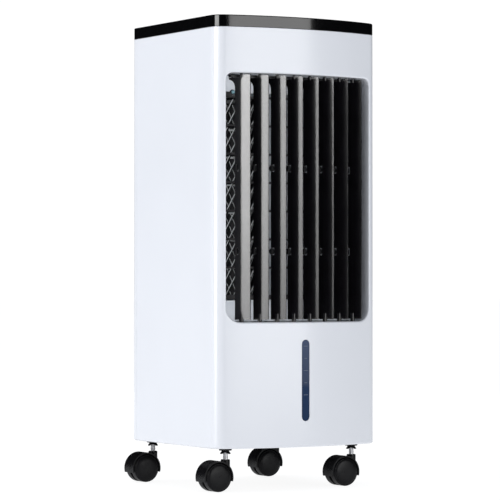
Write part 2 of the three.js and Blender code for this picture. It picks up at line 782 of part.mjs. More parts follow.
function driveBar() {
  const halfWidth = 3.2;
  const bottom = BLADE_TOP - BAR_HEIGHT;
  const line = louverNumbers.map((number) => linkPin(number, LEVER_PIN));
  const lead = new THREE.Vector2(4, 0);
  const ends = [line[0].clone().sub(lead), ...line, line.at(-1).clone().add(lead)];
  const edge = ends.map((p) => new THREE.Vector2(p.x, p.y - halfWidth));
  const strip = prismZ(ribbon(edge, 2 * halfWidth), bottom, BLADE_TOP);
  const holes = line.map(({ x, y }) => postZ(x, y, LINK_PIN_RADIUS + 0.45, bottom - 1, BLADE_TOP + 1, 6));
  return strip.subtract(union(...holes));
}

function tieBar(height) {
  const clipRadius = 3;
  const line = louverNumbers.map((number) => linkPin(number, TIE_PIN));
  const edge = line.map((p) => new THREE.Vector2(p.x, p.y + clipRadius - 1));
  const strip = prismZ(ribbon(edge, 2), height - 2, height + 2);
  const half = CLIP_HEIGHT / 2;
  const clips = line.map(({ x, y }) => postZ(x, y, clipRadius, height - half, height + half, 6));
  const holes = line.map(({ x, y }) =>
    postZ(x, y, LINK_PIN_RADIUS + 0.45, height - half - 1, height + half + 1, 6),
  );
  return union(strip, ...clips).subtract(union(...holes));
}

function swingMotor() {
  const { x, y } = louverPivot(1);
  const canY = y + 8; // its output shaft stands off its centre
  const bottom = OUTLET_TOP + 5.5;
  const canRadius = 14;
  const canHeight = 18.5;
  const earReach = 21;
  const earHalf = 3.5;
  const can = postZ(x, canY, canRadius, bottom, bottom + canHeight, 16);
  const ears = box(x - earReach, x + earReach, canY - earHalf, canY + earHalf, bottom, bottom + 1);
  const boss = postZ(x, y, 4.5, bottom - 0.9, bottom + 0.5, 12);
  return union(can, ears, boss);
}

// ---- Controls and cord ----

function controlBoard() {
  const bottom = 636;
  const half = 72;
  const front = -116;
  const back = -52;
  const board = box(-half, half, front, back, bottom, bottom + 1.6);
  const switches = BUTTONS.map((_, i) => {
    const x = buttonX(i);
    return box(x - 3, x + 3, BUTTON_Y - 3, BUTTON_Y + 3, bottom + 1, bottom + 11);
  });
  return union(board, ...switches);
}

// The cord's turns round the two cleats as one band, with its inlet and its plug.
function powerCord() {
  const inside = 9.6;
  const outside = 23;
  const front = BACK + 0.4;
  const back = BACK + CLEAT_REACH - 2.4;
  const track = (r) => roundedRectangle(-CLEAT_X - r, CLEAT_X + r, CLEAT_Z - r, CLEAT_Z + r, r, r);
  const coil = prismY(track(outside), front, back, 3).subtract(
    prismY(track(inside), front - 1, back + 1, 3),
  );
  const cordRadius = 3;
  const nearSide = CORD_OUTLET_X - 2;
  const lead = box(
    nearSide,
    -CLEAT_X - inside - 4,
    front + 0.2,
    front + 6.2,
    CLEAT_Z - cordRadius,
    CLEAT_Z + cordRadius,
  );
  const inlet = postY(CORD_OUTLET_X, CLEAT_Z, cordRadius + 0.2, BACK - 8, front + 6, 8);
  const tail = box(
    CLEAT_X + inside + 4,
    72,
    front + 1,
    front + 7,
    CLEAT_Z - cordRadius,
    CLEAT_Z + cordRadius,
  );
  const plug = box(70, 98, front, back, CLEAT_Z - 11, CLEAT_Z + 11);
  const blades = [-6.5, 6.5].map((dz) => postX(97, 112, front + 6.5, CLEAT_Z + dz, 2.3));
  return union(coil, lead, inlet, tail, plug, ...blades);
}

function postX(from, to, y, z, radius) {
  const geometry = new THREE.CylinderGeometry(radius, radius, to - from, 8);
  return solidOf(geometry.rotateZ(Math.PI / 2).translate((from + to) / 2, y, z));
}

// ---- Casters: X along the heading, Y along the axle, origin at the wheels' centre ----

function casterStem() {
  return postZ(0, 0, STEM_RADIUS, CASTER_RADIUS + 17.3, 68, 8);
}

function casterHood() {
  const skin = 2;
  const webHalf = 1.8;
  const overlap = THREE.MathUtils.degToRad(15); // how far the hood reaches below the axle
  const arch = new THREE.Shape();
  arch.absarc(0, 0, HOOD_RADIUS, -overlap, Math.PI + overlap);
  arch.absarc(0, 0, HOOD_RADIUS - skin, Math.PI + overlap, -overlap, true);
  const web = new THREE.Shape();
  web.absarc(0, 0, HOOD_RADIUS - skin / 2, -overlap, Math.PI + overlap);
  web.absarc(0, 0, 6, Math.PI + overlap, TAU - overlap);
  const boss = postZ(CASTER_TRAIL, 0, 6.5, 10, 24, 10);
  const wheelRoom = [
    [webHalf, CASTER_WIDTH],
    [-CASTER_WIDTH, -webHalf],
  ].map(([from, to]) => postY(0, 0, HOOD_RADIUS - skin, from, to, 16));
  return union(
    prismY(arch, -HOOD_WIDTH / 2, HOOD_WIDTH / 2, 7),
    prismY(web, -webHalf, webHalf, 7),
    boss,
  )
    .subtract(union(...wheelRoom))
    .subtract(postZ(CASTER_TRAIL, 0, STEM_RADIUS + 0.4, 17, 30, 8))
    .subtract(postY(0, 0, 2.9, -5, 5, 8));
}

function casterAxle() {
  return postY(0, 0, 2.5, -12.5, 12.5, 8);
}

// One wheel of the pair, on the +Y side. The cap closes over the axle's end.
function casterWheel() {
  const outerFace = CASTER_WIDTH / 2;
  const profile = [
    [3.1, 2.3],
    [CASTER_RADIUS, 2.3],
    [CASTER_RADIUS, 13.4],
    [17.5, outerFace],
    [0, outerFace],
    [0, 12.9],
    [3.1, 12.9],
    [3.1, 2.3],
  ].map(([radius, along]) => new THREE.Vector2(radius, along));
  const sides = 16;
  const flat = 1 / Math.cos(Math.PI / sides); // brings the facets, not the corners, to the radius
  const geometry = new THREE.LatheGeometry(profile, sides);
  return solidOf(geometry.scale(flat, 1, flat).rotateY(Math.PI / sides));
}

function addCaster(place, x, y) {
  const caster = new THREE.Group();
  caster.position.set(x, y, 0);
  cooler.add(caster);
  const wheels = new THREE.Group();
  wheels.position.set(-CASTER_TRAIL, 0, CASTER_RADIUS);
  caster.add(wheels);
  add(`caster_${place}_stem`, casterStem(), steel, caster);
  add(`caster_${place}_hood`, casterHood(), blackPlastic, wheels);
  add(`caster_${place}_axle`, casterAxle(), steel, wheels);
  add(`caster_${place}_wheel_a`, casterWheel(), blackPlastic, wheels).rotation.z = Math.PI;
  add(`caster_${place}_wheel_b`, casterWheel(), blackPlastic, wheels);
}

// ---- Assembly ----

add("front_shell", frontShell(), whitePlastic);
add("rear_cover", rearCover(), whitePlastic);
add("base_plate", basePlate(), blackPlastic);
add("top_cover", topCover(), blackGloss);
add("display_lens", displayLens(), blackGloss);
add("level_window", levelWindow(), blueWindow);

add("water_tank", waterTank(), tankPlastic);
add("tank_latch", tankLatch(), greyPlastic);
add("tank_deck", tankDeck(), greyPlastic);
add("pump", pump(), blackPlastic);
add("pump_hose", pumpHose(), rubber);
add("cooling_pad", coolingPad(), padBrown);
add("water_distributor", waterDistributor(), greyPlastic);
add("rear_filter_frame", rearFilterFrame(), whitePlastic);
add("dust_filter", dustFilter(), filterMesh);

add("scroll_casing", scrollCasing(), whitePlastic);
add("crossflow_wheel", crossflowWheel(), blackPlastic).position.set(WHEEL_X, WHEEL_Y, 0);
add("fan_shaft", fanShaft(), steel);
add("top_bearing", topBearing(), steel);
add("fan_motor", fanMotor(), motorMetal);
add("motor_bracket", motorBracket(), steel);
add("outlet_guard", outletGuard(), blackPlastic);

for (const number of louverNumbers) {
  const { x, y } = louverPivot(number);
  const blade = add(`louver_${number}`, louver(), blackPlastic);
  blade.position.set(x, y, 0);
  blade.rotation.z = LOUVER_REST;
}
add("drive_bar", driveBar(), blackPlastic);
add("tie_bar_lower", tieBar(TIE_HEIGHTS[0]), blackPlastic);
add("tie_bar_upper", tieBar(TIE_HEIGHTS[1]), blackPlastic);
add("swing_motor", swingMotor(), motorMetal);

add("control_board", controlBoard(), boardGreen);
BUTTONS.forEach((name, i) => {
  add(`button_${name}`, topButton(), blackGloss).position.set(buttonX(i), BUTTON_Y, 0);
});
add("power_cord", powerCord(), rubber);

for (const [place, x, y] of casterPlaces()) addCaster(place, x, y);

// The frame's origin is on the floor, under the centre of the whole object's outline: the casters
// stand out to the left of the body, the bowed front ahead of it and the cord cleats behind it.
cooler.position.set(CASTER_OVERHANG / 2, (FRONT_BOW - CLEAT_REACH) / 2, 0);

const part = new THREE.Group();
part.add(cooler);
export default part;
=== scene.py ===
"""Looks of a household tower air cooler on casters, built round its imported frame.

Shapes are drawn in millimetres from the body's centre line (X right, Y back, Z up, floor at Z = 0)
and turned into metres in the frame's own axes when each piece is made.
"""

import json
import math

import bmesh
import bpy
from mathutils import Matrix, Vector
from mathutils.geometry import tessellate_polygon


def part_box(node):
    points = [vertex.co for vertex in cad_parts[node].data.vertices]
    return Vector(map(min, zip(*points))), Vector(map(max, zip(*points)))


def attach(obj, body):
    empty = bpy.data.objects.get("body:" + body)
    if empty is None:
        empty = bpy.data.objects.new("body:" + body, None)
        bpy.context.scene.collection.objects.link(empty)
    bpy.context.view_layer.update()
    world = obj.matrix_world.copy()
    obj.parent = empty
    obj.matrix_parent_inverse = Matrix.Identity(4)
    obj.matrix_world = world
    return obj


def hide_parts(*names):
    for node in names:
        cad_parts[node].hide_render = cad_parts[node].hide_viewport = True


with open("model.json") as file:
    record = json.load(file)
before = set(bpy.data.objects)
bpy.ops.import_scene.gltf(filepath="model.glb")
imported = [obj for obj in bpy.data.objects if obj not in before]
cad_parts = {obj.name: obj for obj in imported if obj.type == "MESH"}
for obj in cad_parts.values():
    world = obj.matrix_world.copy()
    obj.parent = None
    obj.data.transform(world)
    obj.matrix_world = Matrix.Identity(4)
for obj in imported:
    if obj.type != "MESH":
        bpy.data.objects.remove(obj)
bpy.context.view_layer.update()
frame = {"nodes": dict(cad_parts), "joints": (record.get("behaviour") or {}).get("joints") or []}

# ---- Driving dimensions, millimetres ----

MM = 0.001
FLANK_DEPTH = 242
FRONT_BOW = 23.3
FRONT_CORNER = 21.7
BACK_CORNER = 12
WALL = 3
GAP = 0.3

cover_low, cover_high = [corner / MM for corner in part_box("top_cover")]
shell_low, shell_high = [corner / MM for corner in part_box("front_shell")]
WIDTH = cover_high.x - cover_low.x
HALF_WIDTH = WIDTH / 2
BACK = FLANK_DEPTH / 2
CENTRE = Vector(((cover_low.x + cover_high.x) / 2, cover_high.y - BACK, 0))
UNDERSIDE = shell_low.z
SHELL_TOP = shell_high.z
COVER_BOTTOM = cover_low.z
TOP = cover_high.z
REAR_SPLIT = shell_high.y - CENTRE.y
FRONT_RADIUS = (HALF_WIDTH**2 + FRONT_BOW**2) / (2 * FRONT_BOW)
FRONT_CENTRE_Y = FRONT_RADIUS - FRONT_BOW - BACK
CORNER_X = HALF_WIDTH - FRONT_CORNER
CORNER_Y = FRONT_CENTRE_Y - math.sqrt((FRONT_RADIUS - FRONT_CORNER) ** 2 - CORNER_X**2)


def span(node):
    """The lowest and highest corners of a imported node, in millimetres from the body's centre line."""
    low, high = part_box(node)
    return low / MM - CENTRE, high / MM - CENTRE


def middle(node):
    low, high = span(node)
    return (low + high) / 2


# ---- Forms: lists of faces, each a list of points ----


def quads(rings, closed=True):
    """Four-sided faces between neighbouring rings of points."""
    faces = []
    for low, high in zip(rings, rings[1:]):
        count = len(low) if closed else len(low) - 1
        for i in range(count):
            j = (i + 1) % len(low)
            faces.append([low[i], low[j], high[j], high[i]])
    return faces


def tube(rings):
    """A closed body through rings, with its first and last ring filled."""
    return quads(rings) + [list(reversed(rings[0])), list(rings[-1])]


PLACES = {
    "X": lambda a, b, along: (along, a, b),
    "Y": lambda a, b, along: (a, along, b),
    "Z": lambda a, b, along: (a, b, along),
}


def prism(outline, low, high, axis="Z"):
    """An outline run from one place to another along an axis."""
    place = PLACES[axis]
    return tube([[place(a, b, along) for a, b in outline] for along in (low, high)])


def quarter_round(radius, start, way, steps):
    """(inset, place) pairs round a quarter circle from a start along an axis; way is +1 or -1."""
    turns = [k / steps * math.pi / 2 for k in range(steps + 1)]
    return [(radius * (1 - math.sin(t)), start + way * radius * (1 - math.cos(t))) for t in turns]


def cushioned(outline_at, low, high, rounding, axis="Z", steps=4, ends=(True, True)):
    """A prism whose ends are rounded; outline_at(inset) gives the outline moved inwards."""
    place = PLACES[axis]
    lead = quarter_round(rounding, low, 1, steps)
    trail = [(inset, high + low - along) for inset, along in reversed(lead)]
    profile = (lead if ends[0] else [(0, low)]) + (trail if ends[1] else [(0, high)])
    return tube([[place(a, b, along) for a, b in outline_at(inset)] for inset, along in profile])


def box(x0, x1, y0, y1, z0, z1):
    return prism([(x0, y0), (x1, y0), (x1, y1), (x0, y1)], z0, z1)


def arc(x, y, radius, start, stop, steps):
    """Points along an arc; angles in degrees from +X."""
    turns = [math.radians(start + (stop - start) * k / steps) for k in range(steps + 1)]
    return [(x + radius * math.cos(t), y + radius * math.sin(t)) for t in turns]


def circle(x, y, radius, sides=32):
    return arc(x, y, radius, 0, 360, sides)[:-1]


def rounded(x0, x1, y0, y1, corner, steps=6):
    """A rectangle with round corners."""
    return (
        arc(x1 - corner, y0 + corner, corner, -90, 0, steps)
        + arc(x1 - corner, y1 - corner, corner, 0, 90, steps)
        + arc(x0 + corner, y1 - corner, corner, 90, 180, steps)
        + arc(x0 + corner, y0 + corner, corner, 180, 270, steps)
    )


def lathe(profile, sides=48, axis="Z", centre=(0, 0, 0)):
    """A closed profile of (radius, height) turned round an axis through centre."""
    rings = []
    for k in range(sides):
        t = math.tau * k / sides
        across = (math.cos(t), math.sin(t))
        ring = []
        for radius, height in profile:
            place = PLACES[axis](radius * across[0], radius * across[1], height)
            ring.append(tuple(c + p for c, p in zip(centre, place)))
        rings.append(ring)
    return quads(rings + [rings[0]])


def sweep(path, radius, sides=10):
    """A round cord along a path of points, turned as little as possible from ring to ring."""
    points = [Vector(p) for p in path]
    across = None
    rings = []
    for i, point in enumerate(points):
        along = (points[min(i + 1, len(points) - 1)] - points[max(i - 1, 0)]).normalized()
        across = along.orthogonal() if across is None else across
        across = (across - along * across.dot(along)).normalized()
        side = along.cross(across)
        turns = [math.tau * k / sides for k in range(sides)]
        rings.append([tuple(point + (across * math.cos(t) + side * math.sin(t)) * radius) for t in turns])
    return tube(rings)


def smooth_path(points, steps=8):
    """A Catmull-Rom curve through the points."""
    ends = [Vector(p) for p in points]
    ends = [2 * ends[0] - ends[1]] + ends + [2 * ends[-1] - ends[-2]]
    path = []
    for a, b, c, d in zip(ends, ends[1:], ends[2:], ends[3:]):
        for k in range(steps):
            t = k / steps
            pull = (2 * a - 5 * b + 4 * c - d) * t**2 + (3 * b - 3 * c + d - a) * t**3
            path.append(b + ((c - a) * t + pull) / 2)
    return path + [ends[-2]]


def moved(form, x=0, y=0, z=0):
    return [[(p[0] + x, p[1] + y, p[2] + z) for p in face] for face in form]


def turned(form, degrees, axis="Z"):
    spin = Matrix.Rotation(math.radians(degrees), 3, axis)
    return [[tuple(spin @ Vector(p)) for p in face] for face in form]


def welded(name, form, scale=1.0, shift=(0, 0, 0)):
    """A mesh with the form's faces joined at their shared points and facing out."""
    mesh = bpy.data.meshes.new(name)
    work = bmesh.new()
    for face in form:
        work.faces.new([work.verts.new(p) for p in face])
    bmesh.ops.remove_doubles(work, verts=work.verts, dist=0.002)
    bmesh.ops.dissolve_degenerate(work, edges=work.edges, dist=0.0005)
    bmesh.ops.recalc_face_normals(work, faces=work.faces)
    bmesh.ops.transform(work, matrix=Matrix.Translation(shift), verts=work.verts)
    bmesh.ops.transform(work, matrix=Matrix.Scale(scale, 4), verts=work.verts)
    work.to_mesh(mesh)
    work.free()
    return mesh


def scratch_object(form):
    thing = bpy.data.objects.new("scratch", welded("scratch", form))
    bpy.context.scene.collection.objects.link(thing)
    return thing


def combined(base, tools, operation):
    """The base form with others joined to it, or cut out of it, as one skin."""
    target = scratch_object(base)
    helpers = [scratch_object(tool) for tool in tools]
    for helper in helpers:
        change = target.modifiers.new("change", "BOOLEAN")
        change.operation = operation
        change.solver = "MANIFOLD"
        change.object = helper
    evaluated = target.evaluated_get(bpy.context.evaluated_depsgraph_get())
    mesh = bpy.data.meshes.new_from_object(evaluated)
    form = [[tuple(mesh.vertices[i].co) for i in face.vertices] for face in mesh.polygons]
    for thing in [target, *helpers]:
        bpy.data.meshes.remove(thing.data)
    bpy.data.meshes.remove(mesh)
    return form


def fused(base, *others):
    return combined(base, others, "UNION")


def carved(base, *cutters):
    return combined(base, cutters, "DIFFERENCE")


# ---- Materials ----


class Paint:
    """A procedural material under construction, with its texture space in millimetres."""

    def __init__(self, name, colour, roughness, metallic=0.0):
        self.material = bpy.data.materials.new(name)
        self.material.use_nodes = True
        self.tree = self.material.node_tree
        self.surface = self.tree.nodes["Principled BSDF"]
        self.surface.inputs["Metallic"].default_value = metallic
        self.surface.inputs["Base Color"].default_value = (*colour, 1)
        self.surface.inputs["Roughness"].default_value = roughness
        self.colour = colour
        self.roughness = roughness
        coordinates = self.node("ShaderNodeTexCoord")
        self.space = self.node("ShaderNodeVectorMath", operation="SCALE")
        self.space.inputs["Scale"].default_value = 1 / MM
        self.link(coordinates.outputs["Object"], self.space.inputs[0])
        self.height = None

    def node(self, kind, **settings):
        made = self.tree.nodes.new(kind)
        for key, value in settings.items():
            setattr(made, key, value)
        return made

    def link(self, source, target):
        self.tree.links.new(source, target)

    def math(self, operation, a, b=0.0):
        made = self.node("ShaderNodeMath", operation=operation)
        for socket, value in zip(made.inputs, (a, b)):
            if isinstance(value, (int, float)):
                socket.default_value = value
            else:
                self.link(value, socket)
        return made.outputs[0]

    def sum_of(self, value, factor, added):
        """value * factor + added, where value and added may be sockets."""
        made = self.math("MULTIPLY_ADD", value, factor).node
        if isinstance(added, (int, float)):
            made.inputs[2].default_value = added
        else:
            self.link(added, made.inputs[2])
        return made.outputs[0]

    def stretched(self, stretch):
        """The texture space scaled by its own factor along each axis."""
        scale = self.node("ShaderNodeVectorMath", operation="MULTIPLY")
        scale.inputs[1].default_value = stretch
        self.link(self.space.outputs[0], scale.inputs[0])
        return scale.outputs[0]

    def noise(self, size, detail, stretch):
        """Soft noise whose patches measure about size millimetres."""
        made = self.node("ShaderNodeTexNoise")
        made.inputs["Scale"].default_value = 1 / size
        made.inputs["Detail"].default_value = detail
        self.link(self.stretched(stretch), made.inputs["Vector"])
        return made.outputs["Fac"]

    def ramp(self, factor, stops):
        """Colours or greys at places along a factor."""
        made = self.node("ShaderNodeValToRGB")
        elements = made.color_ramp.elements
        while len(elements) < len(stops):
            elements.new(0.5)
        for element, (place, value) in zip(elements, stops):
            element.position = place
            element.color = (value, value, value, 1) if isinstance(value, (int, float)) else (*value, 1)
        self.link(factor, made.inputs["Fac"])
        return made.outputs["Color"]

    def mottle(self, size, amount, stretch=(1, 1, 1)):
        """The colour drifts a little lighter and darker."""
        dark = tuple(c * (1 - amount) for c in self.colour)
        light = tuple(min(1, c * (1 + amount)) for c in self.colour)
        tint = self.ramp(self.noise(size, 4, stretch), [(0.3, dark), (0.7, light)])
        self.link(tint, self.surface.inputs["Base Color"])
        return self

    def uneven_gloss(self, size, amount, stretch=(1, 1, 1)):
        """The roughness varies: handling marks and moulding flow."""
        low, high = self.roughness * (1 - amount), self.roughness * (1 + amount)
        worn = self.ramp(self.noise(size, 5, stretch), [(0.3, low), (0.7, high)])
        self.link(worn, self.surface.inputs["Roughness"])
        return self

    def grain(self, size, depth, stretch=(1, 1, 1)):
        """A bump of a given depth in millimetres, on top of any bump made before."""
        bump = self.node("ShaderNodeBump")
        bump.inputs["Distance"].default_value = depth * MM
        bump.inputs["Strength"].default_value = 1.0
        self.link(self.noise(size, 2, stretch), bump.inputs["Height"])
        if self.height is not None:
            self.link(self.height, bump.inputs["Normal"])
        self.height = bump.outputs["Normal"]
        self.link(self.height, self.surface.inputs["Normal"])
        return self

    def height_axis(self):
        """Height above the floor in millimetres."""
        split = self.node("ShaderNodeSeparateXYZ")
        self.link(self.space.outputs[0], split.inputs[0])
        return split.outputs["Z"]


SPECULAR = "Specular IOR Level"


def painted(name, colour, roughness, mottle, gloss, *grains, metallic=0.0, levels=()):
    """Mottled colour, uneven gloss and fine grain, each given as size in mm, amount and any stretch."""
    paint = Paint(name, colour, roughness, metallic)
    for socket, level in dict(levels).items():
        paint.surface.inputs[socket].default_value = level
    paint.mottle(*mottle).uneven_gloss(*gloss)
    for grain in grains:
        paint.grain(*grain)
    return paint.material


def wheel_black(hub, inner, outer):
    """Black, with a painted highlight: paler along the blades' inner and outer edges, where they catch the
    light.
    """
    paint = Paint("wheel_black", (0.003, 0.003, 0.004), 0.35)
    paint.surface.inputs[SPECULAR].default_value = 0.1
    flat = paint.node("ShaderNodeVectorMath", operation="MULTIPLY_ADD")
    flat.inputs[1].default_value = (1, 1, 0)
    flat.inputs[2].default_value = (-hub.x, -hub.y, 0)
    paint.link(paint.space.outputs[0], flat.inputs[0])
    length = paint.node("ShaderNodeVectorMath", operation="LENGTH")
    paint.link(flat.outputs[0], length.inputs[0])
    share = paint.math("DIVIDE", paint.math("SUBTRACT", length.outputs["Value"], inner), outer - inner)
    # edge is the painted highlight colour, laid along the blades' inner and outer edges
    edge, dark = (0.62, 0.64, 0.66), paint.colour
    tint = paint.ramp(share, [(0.03, edge), (0.07, dark), (0.93, dark), (0.96, edge)])
    paint.link(tint, paint.surface.inputs["Base Color"])
    return paint.uneven_gloss(9, 0.25).grain(0.6, 0.012).material


def window_blue():
    """Smoky blue above the water line and deep blue below it."""
    low, high = [corner.z for corner in span("level_window")]
    water_line = 0.44
    paint = Paint("window_blue", (0.06, 0.085, 0.15), 0.30)
    paint.surface.inputs[SPECULAR].default_value = 0.1
    share = paint.math("DIVIDE", paint.math("SUBTRACT", paint.height_axis(), low), high - low)
    deep, smoky, top = (0.006, 0.026, 0.080), (0.034, 0.052, 0.100), (0.054, 0.076, 0.142)
    stops = [(0.03, deep), (water_line - 0.03, deep), (water_line + 0.02, smoky), (0.95, top)]
    paint.link(paint.ramp(share, stops), paint.surface.inputs["Base Color"])
    return paint.uneven_gloss(12, 0.3).grain(4.0, 0.01).material


def shaded_stem_steel():
    """Turned steel with painted shade: darker on its right side."""
    paint = Paint("shaded_stem_steel", (0.55, 0.55, 0.57), 0.34, metallic=0.8)
    facing = paint.node("ShaderNodeSeparateXYZ")
    paint.link(paint.node("ShaderNodeNewGeometry").outputs["Normal"], facing.inputs[0])
    across = paint.sum_of(facing.outputs["X"], 0.5, 0.5)
    # painted shade: the stem's left and front keep the steel's colour, and its right side goes dark
    stops = [(0.15, paint.colour), (0.5, (0.58, 0.58, 0.60)), (0.8, (0.20, 0.20, 0.21))]
    paint.link(paint.ramp(across, stops), paint.surface.inputs["Base Color"])
    return paint.uneven_gloss(3, 0.2, (1, 1, 0.2)).grain(0.5, 0.01, (1, 1, 4)).material


WHITE = painted("white_abs", (0.79, 0.815, 0.87), 0.22, (180, 0.012), (60, 0.15), (2.2, 0.003))
INNER_WHITE = painted("inner_white", (0.80, 0.84, 0.90), 0.42, (60, 0.05), (25, 0.2), (0.8, 0.02))
GREY = painted("grey_plastic", (0.30, 0.31, 0.33), 0.45, (25, 0.06), (15, 0.2), (0.5, 0.03))
TANK = painted("tank_milk", (0.72, 0.76, 0.80), 0.32, (50, 0.03), (20, 0.2), (1.6, 0.003))
CORD = painted("cord_pvc", (0.018, 0.018, 0.019), 0.55, (8, 0.2), (6, 0.15), (0.35, 0.05))
NET = painted("net_nylon", (0.045, 0.046, 0.050), 0.6, (9, 0.2), (5, 0.2), (0.3, 0.04))
BOARD = painted("board_mask", (0.012, 0.09, 0.045), 0.35, (4, 0.3), (6, 0.2), (1.2, 0.05))
MARK = painted("pale_mark", (0.55, 0.56, 0.58), 0.4, (5, 0.05), (4, 0.1), (0.4, 0.01))
MARK_BLUE = painted("blue_mark", (0.095, 0.125, 0.185), 0.3, (5, 0.05), (4, 0.1), (0.4, 0.01))
LOUVER_BLACK = painted(
    "louver_satin", (0.005, 0.0045, 0.006), 0.17, (30, 0.25), (18, 0.2, (1, 1, 0.2)), (0.9, 0.012)
)
BLACK = painted(
    "grained_black", (0.006, 0.006, 0.0075), 0.42, (20, 0.25), (10, 0.2), (0.45, 0.03),
    levels={SPECULAR: 0.3},
)
CASTER_BLACK = painted(
    "caster_black", (0.005, 0.005, 0.006), 0.32, (12, 0.2), (9, 0.25), (0.6, 0.008),
    levels={SPECULAR: 0.16},
)
GLOSS_BLACK = painted(
    "piano_black", (0.002, 0.002, 0.0025), 0.10, (40, 0.2), (35, 0.25), (3.0, 0.003),
    levels={"Coat Weight": 0.2, "Coat Roughness": 0.04},
)
LENS = painted(
    "smoked_lens", (0.010, 0.011, 0.016), 0.07, (15, 0.2), (20, 0.3), (5.0, 0.002),
    levels={"Coat Weight": 0.9, "Coat Roughness": 0.02},
)
SILICONE = painted(
    "silicone", (0.50, 0.53, 0.55), 0.35, (10, 0.06), (8, 0.2), (0.8, 0.02),
    levels={"Subsurface Weight": 0.2, "Subsurface Radius": (0.002, 0.002, 0.002)},
)
# resin-stiffened brown paper: fibres, and darker damp patches
PAPER = painted(
    "pad_paper", (0.30, 0.18, 0.09), 0.85, (22, 0.35), (8, 0.1), (0.7, 0.12, (1, 1, 0.3)), (3.5, 0.3)
)
STEEL = painted(
    "zinc_steel", (0.62, 0.63, 0.65), 0.24, (6, 0.08), (4, 0.3, (1, 1, 4)), (0.4, 0.006, (1, 1, 8)),
    metallic=1.0,
)
SCREW = painted("screw_steel", (0.16, 0.30, 0.35), 0.36, (3, 0.15), (3, 0.3), (0.5, 0.01), metallic=0.5)
CAN = painted("can_steel", (0.48, 0.49, 0.51), 0.38, (14, 0.1), (10, 0.25), (0.7, 0.02), metallic=0.9)
SHADED_STEM_STEEL = shaded_stem_steel()
WINDOW_BLUE = window_blue()


# ---- Pieces ----

ROUNDED_CREASE = 35  # degrees: sharper edges are rounded on a piece that has a rounding
FLAT = 0.3  # degrees: faces that differ less than this become one


def shade(mesh, angle):
    """Smooth shading, with edges sharper than an angle left crisp."""
    mesh.shade_smooth()
    work = bmesh.new()
    work.from_mesh(mesh)
    limit = math.radians(FLAT)
    bmesh.ops.dissolve_limit(
        work, angle_limit=limit, verts=work.verts, edges=work.edges, delimit={"NORMAL"}
    )
    for edge in work.edges:
        edge.smooth = len(edge.link_faces) == 2 and edge.calc_face_angle(0) < math.radians(angle)
    work.to_mesh(mesh)
    work.free()


def soften(thing, width):
    """Rounds every edge sharper than a crease."""
    bevel = thing.modifiers.new("rounding", "BEVEL")
    bevel.width = width * MM
    bevel.segments = 2
    bevel.limit_method = "ANGLE"
    bevel.angle_limit = math.radians(ROUNDED_CREASE)
    bevel.harden_normals = True
    bevel.use_clamp_overlap = True


def even_normals(thing):
    """Large flat faces keep their own normals beside small roundings."""
    evened = thing.modifiers.new("even normals", "WEIGHTED_NORMAL")
    evened.keep_sharp = True


def piece(name, form, material, body, replaced=(), rounding=0, crease=32):
    """A new piece from a form drawn in the body's millimetres, with its edges rounded or left crisp."""
    mesh = welded(name, form, MM, CENTRE)
    shade(mesh, ROUNDED_CREASE if rounding else crease)
    mesh.materials.append(material)
    thing = bpy.data.objects.new(name, mesh)
    bpy.context.scene.collection.objects.link(thing)
    if rounding:
        soften(thing, rounding)
    else:
        even_normals(thing)
    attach(thing, body)
    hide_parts(*replaced)


# ---- The body's outline ----


def front_y(x, inset):
    """Where the outline's front stands at x: the bow, or the rounded corner beyond it."""
    bow = FRONT_RADIUS - inset
    corner = FRONT_CORNER - inset
    tangent = CORNER_X * bow / (FRONT_RADIUS - FRONT_CORNER)
    if abs(x) <= tangent:
        return FRONT_CENTRE_Y - math.sqrt(bow**2 - x**2)
    return CORNER_Y - math.sqrt(max(corner**2 - (abs(x) - CORNER_X) ** 2, 0))


def back_y(_, inset):
    """Where the outline's back stands, the same at every x."""
    return BACK - inset


def corner_places(x, y, radius, start, stop, steps):
    """Places round a corner, each a function from inset to (x, y)."""
    turns = [math.radians(start + (stop - start) * k / steps) for k in range(steps + 1)]

    def place(t):
        return lambda inset: (x + (radius - inset) * math.cos(t), y + (radius - inset) * math.sin(t))

    return [place(t) for t in turns]


def flank_place(side, y):
    return lambda inset: (side * (HALF_WIDTH - inset), y)


def face_places(xs, face_y):
    return [lambda inset, x=x: (x, face_y(x, inset)) for x in xs]


def closed_outline():
    """Places all round the body, anticlockwise from its right back corner."""
    lean = math.degrees(math.asin(CORNER_X / (FRONT_RADIUS - FRONT_CORNER)))
    back_x = HALF_WIDTH - BACK_CORNER
    back_centre = BACK - BACK_CORNER
    return (
        corner_places(back_x, back_centre, BACK_CORNER, 0, 90, 10)
        + corner_places(-back_x, back_centre, BACK_CORNER, 90, 180, 10)
        + corner_places(-CORNER_X, CORNER_Y, FRONT_CORNER, 180, 270 - lean, 14)
        + corner_places(0, FRONT_CENTRE_Y, FRONT_RADIUS, 270 - lean, 270 + lean, 48)[1:-1]
        + corner_places(CORNER_X, CORNER_Y, FRONT_CORNER, 270 + lean, 360, 14)
    )


# ---- Mouldings: a bent wall with openings that have rounded lips ----


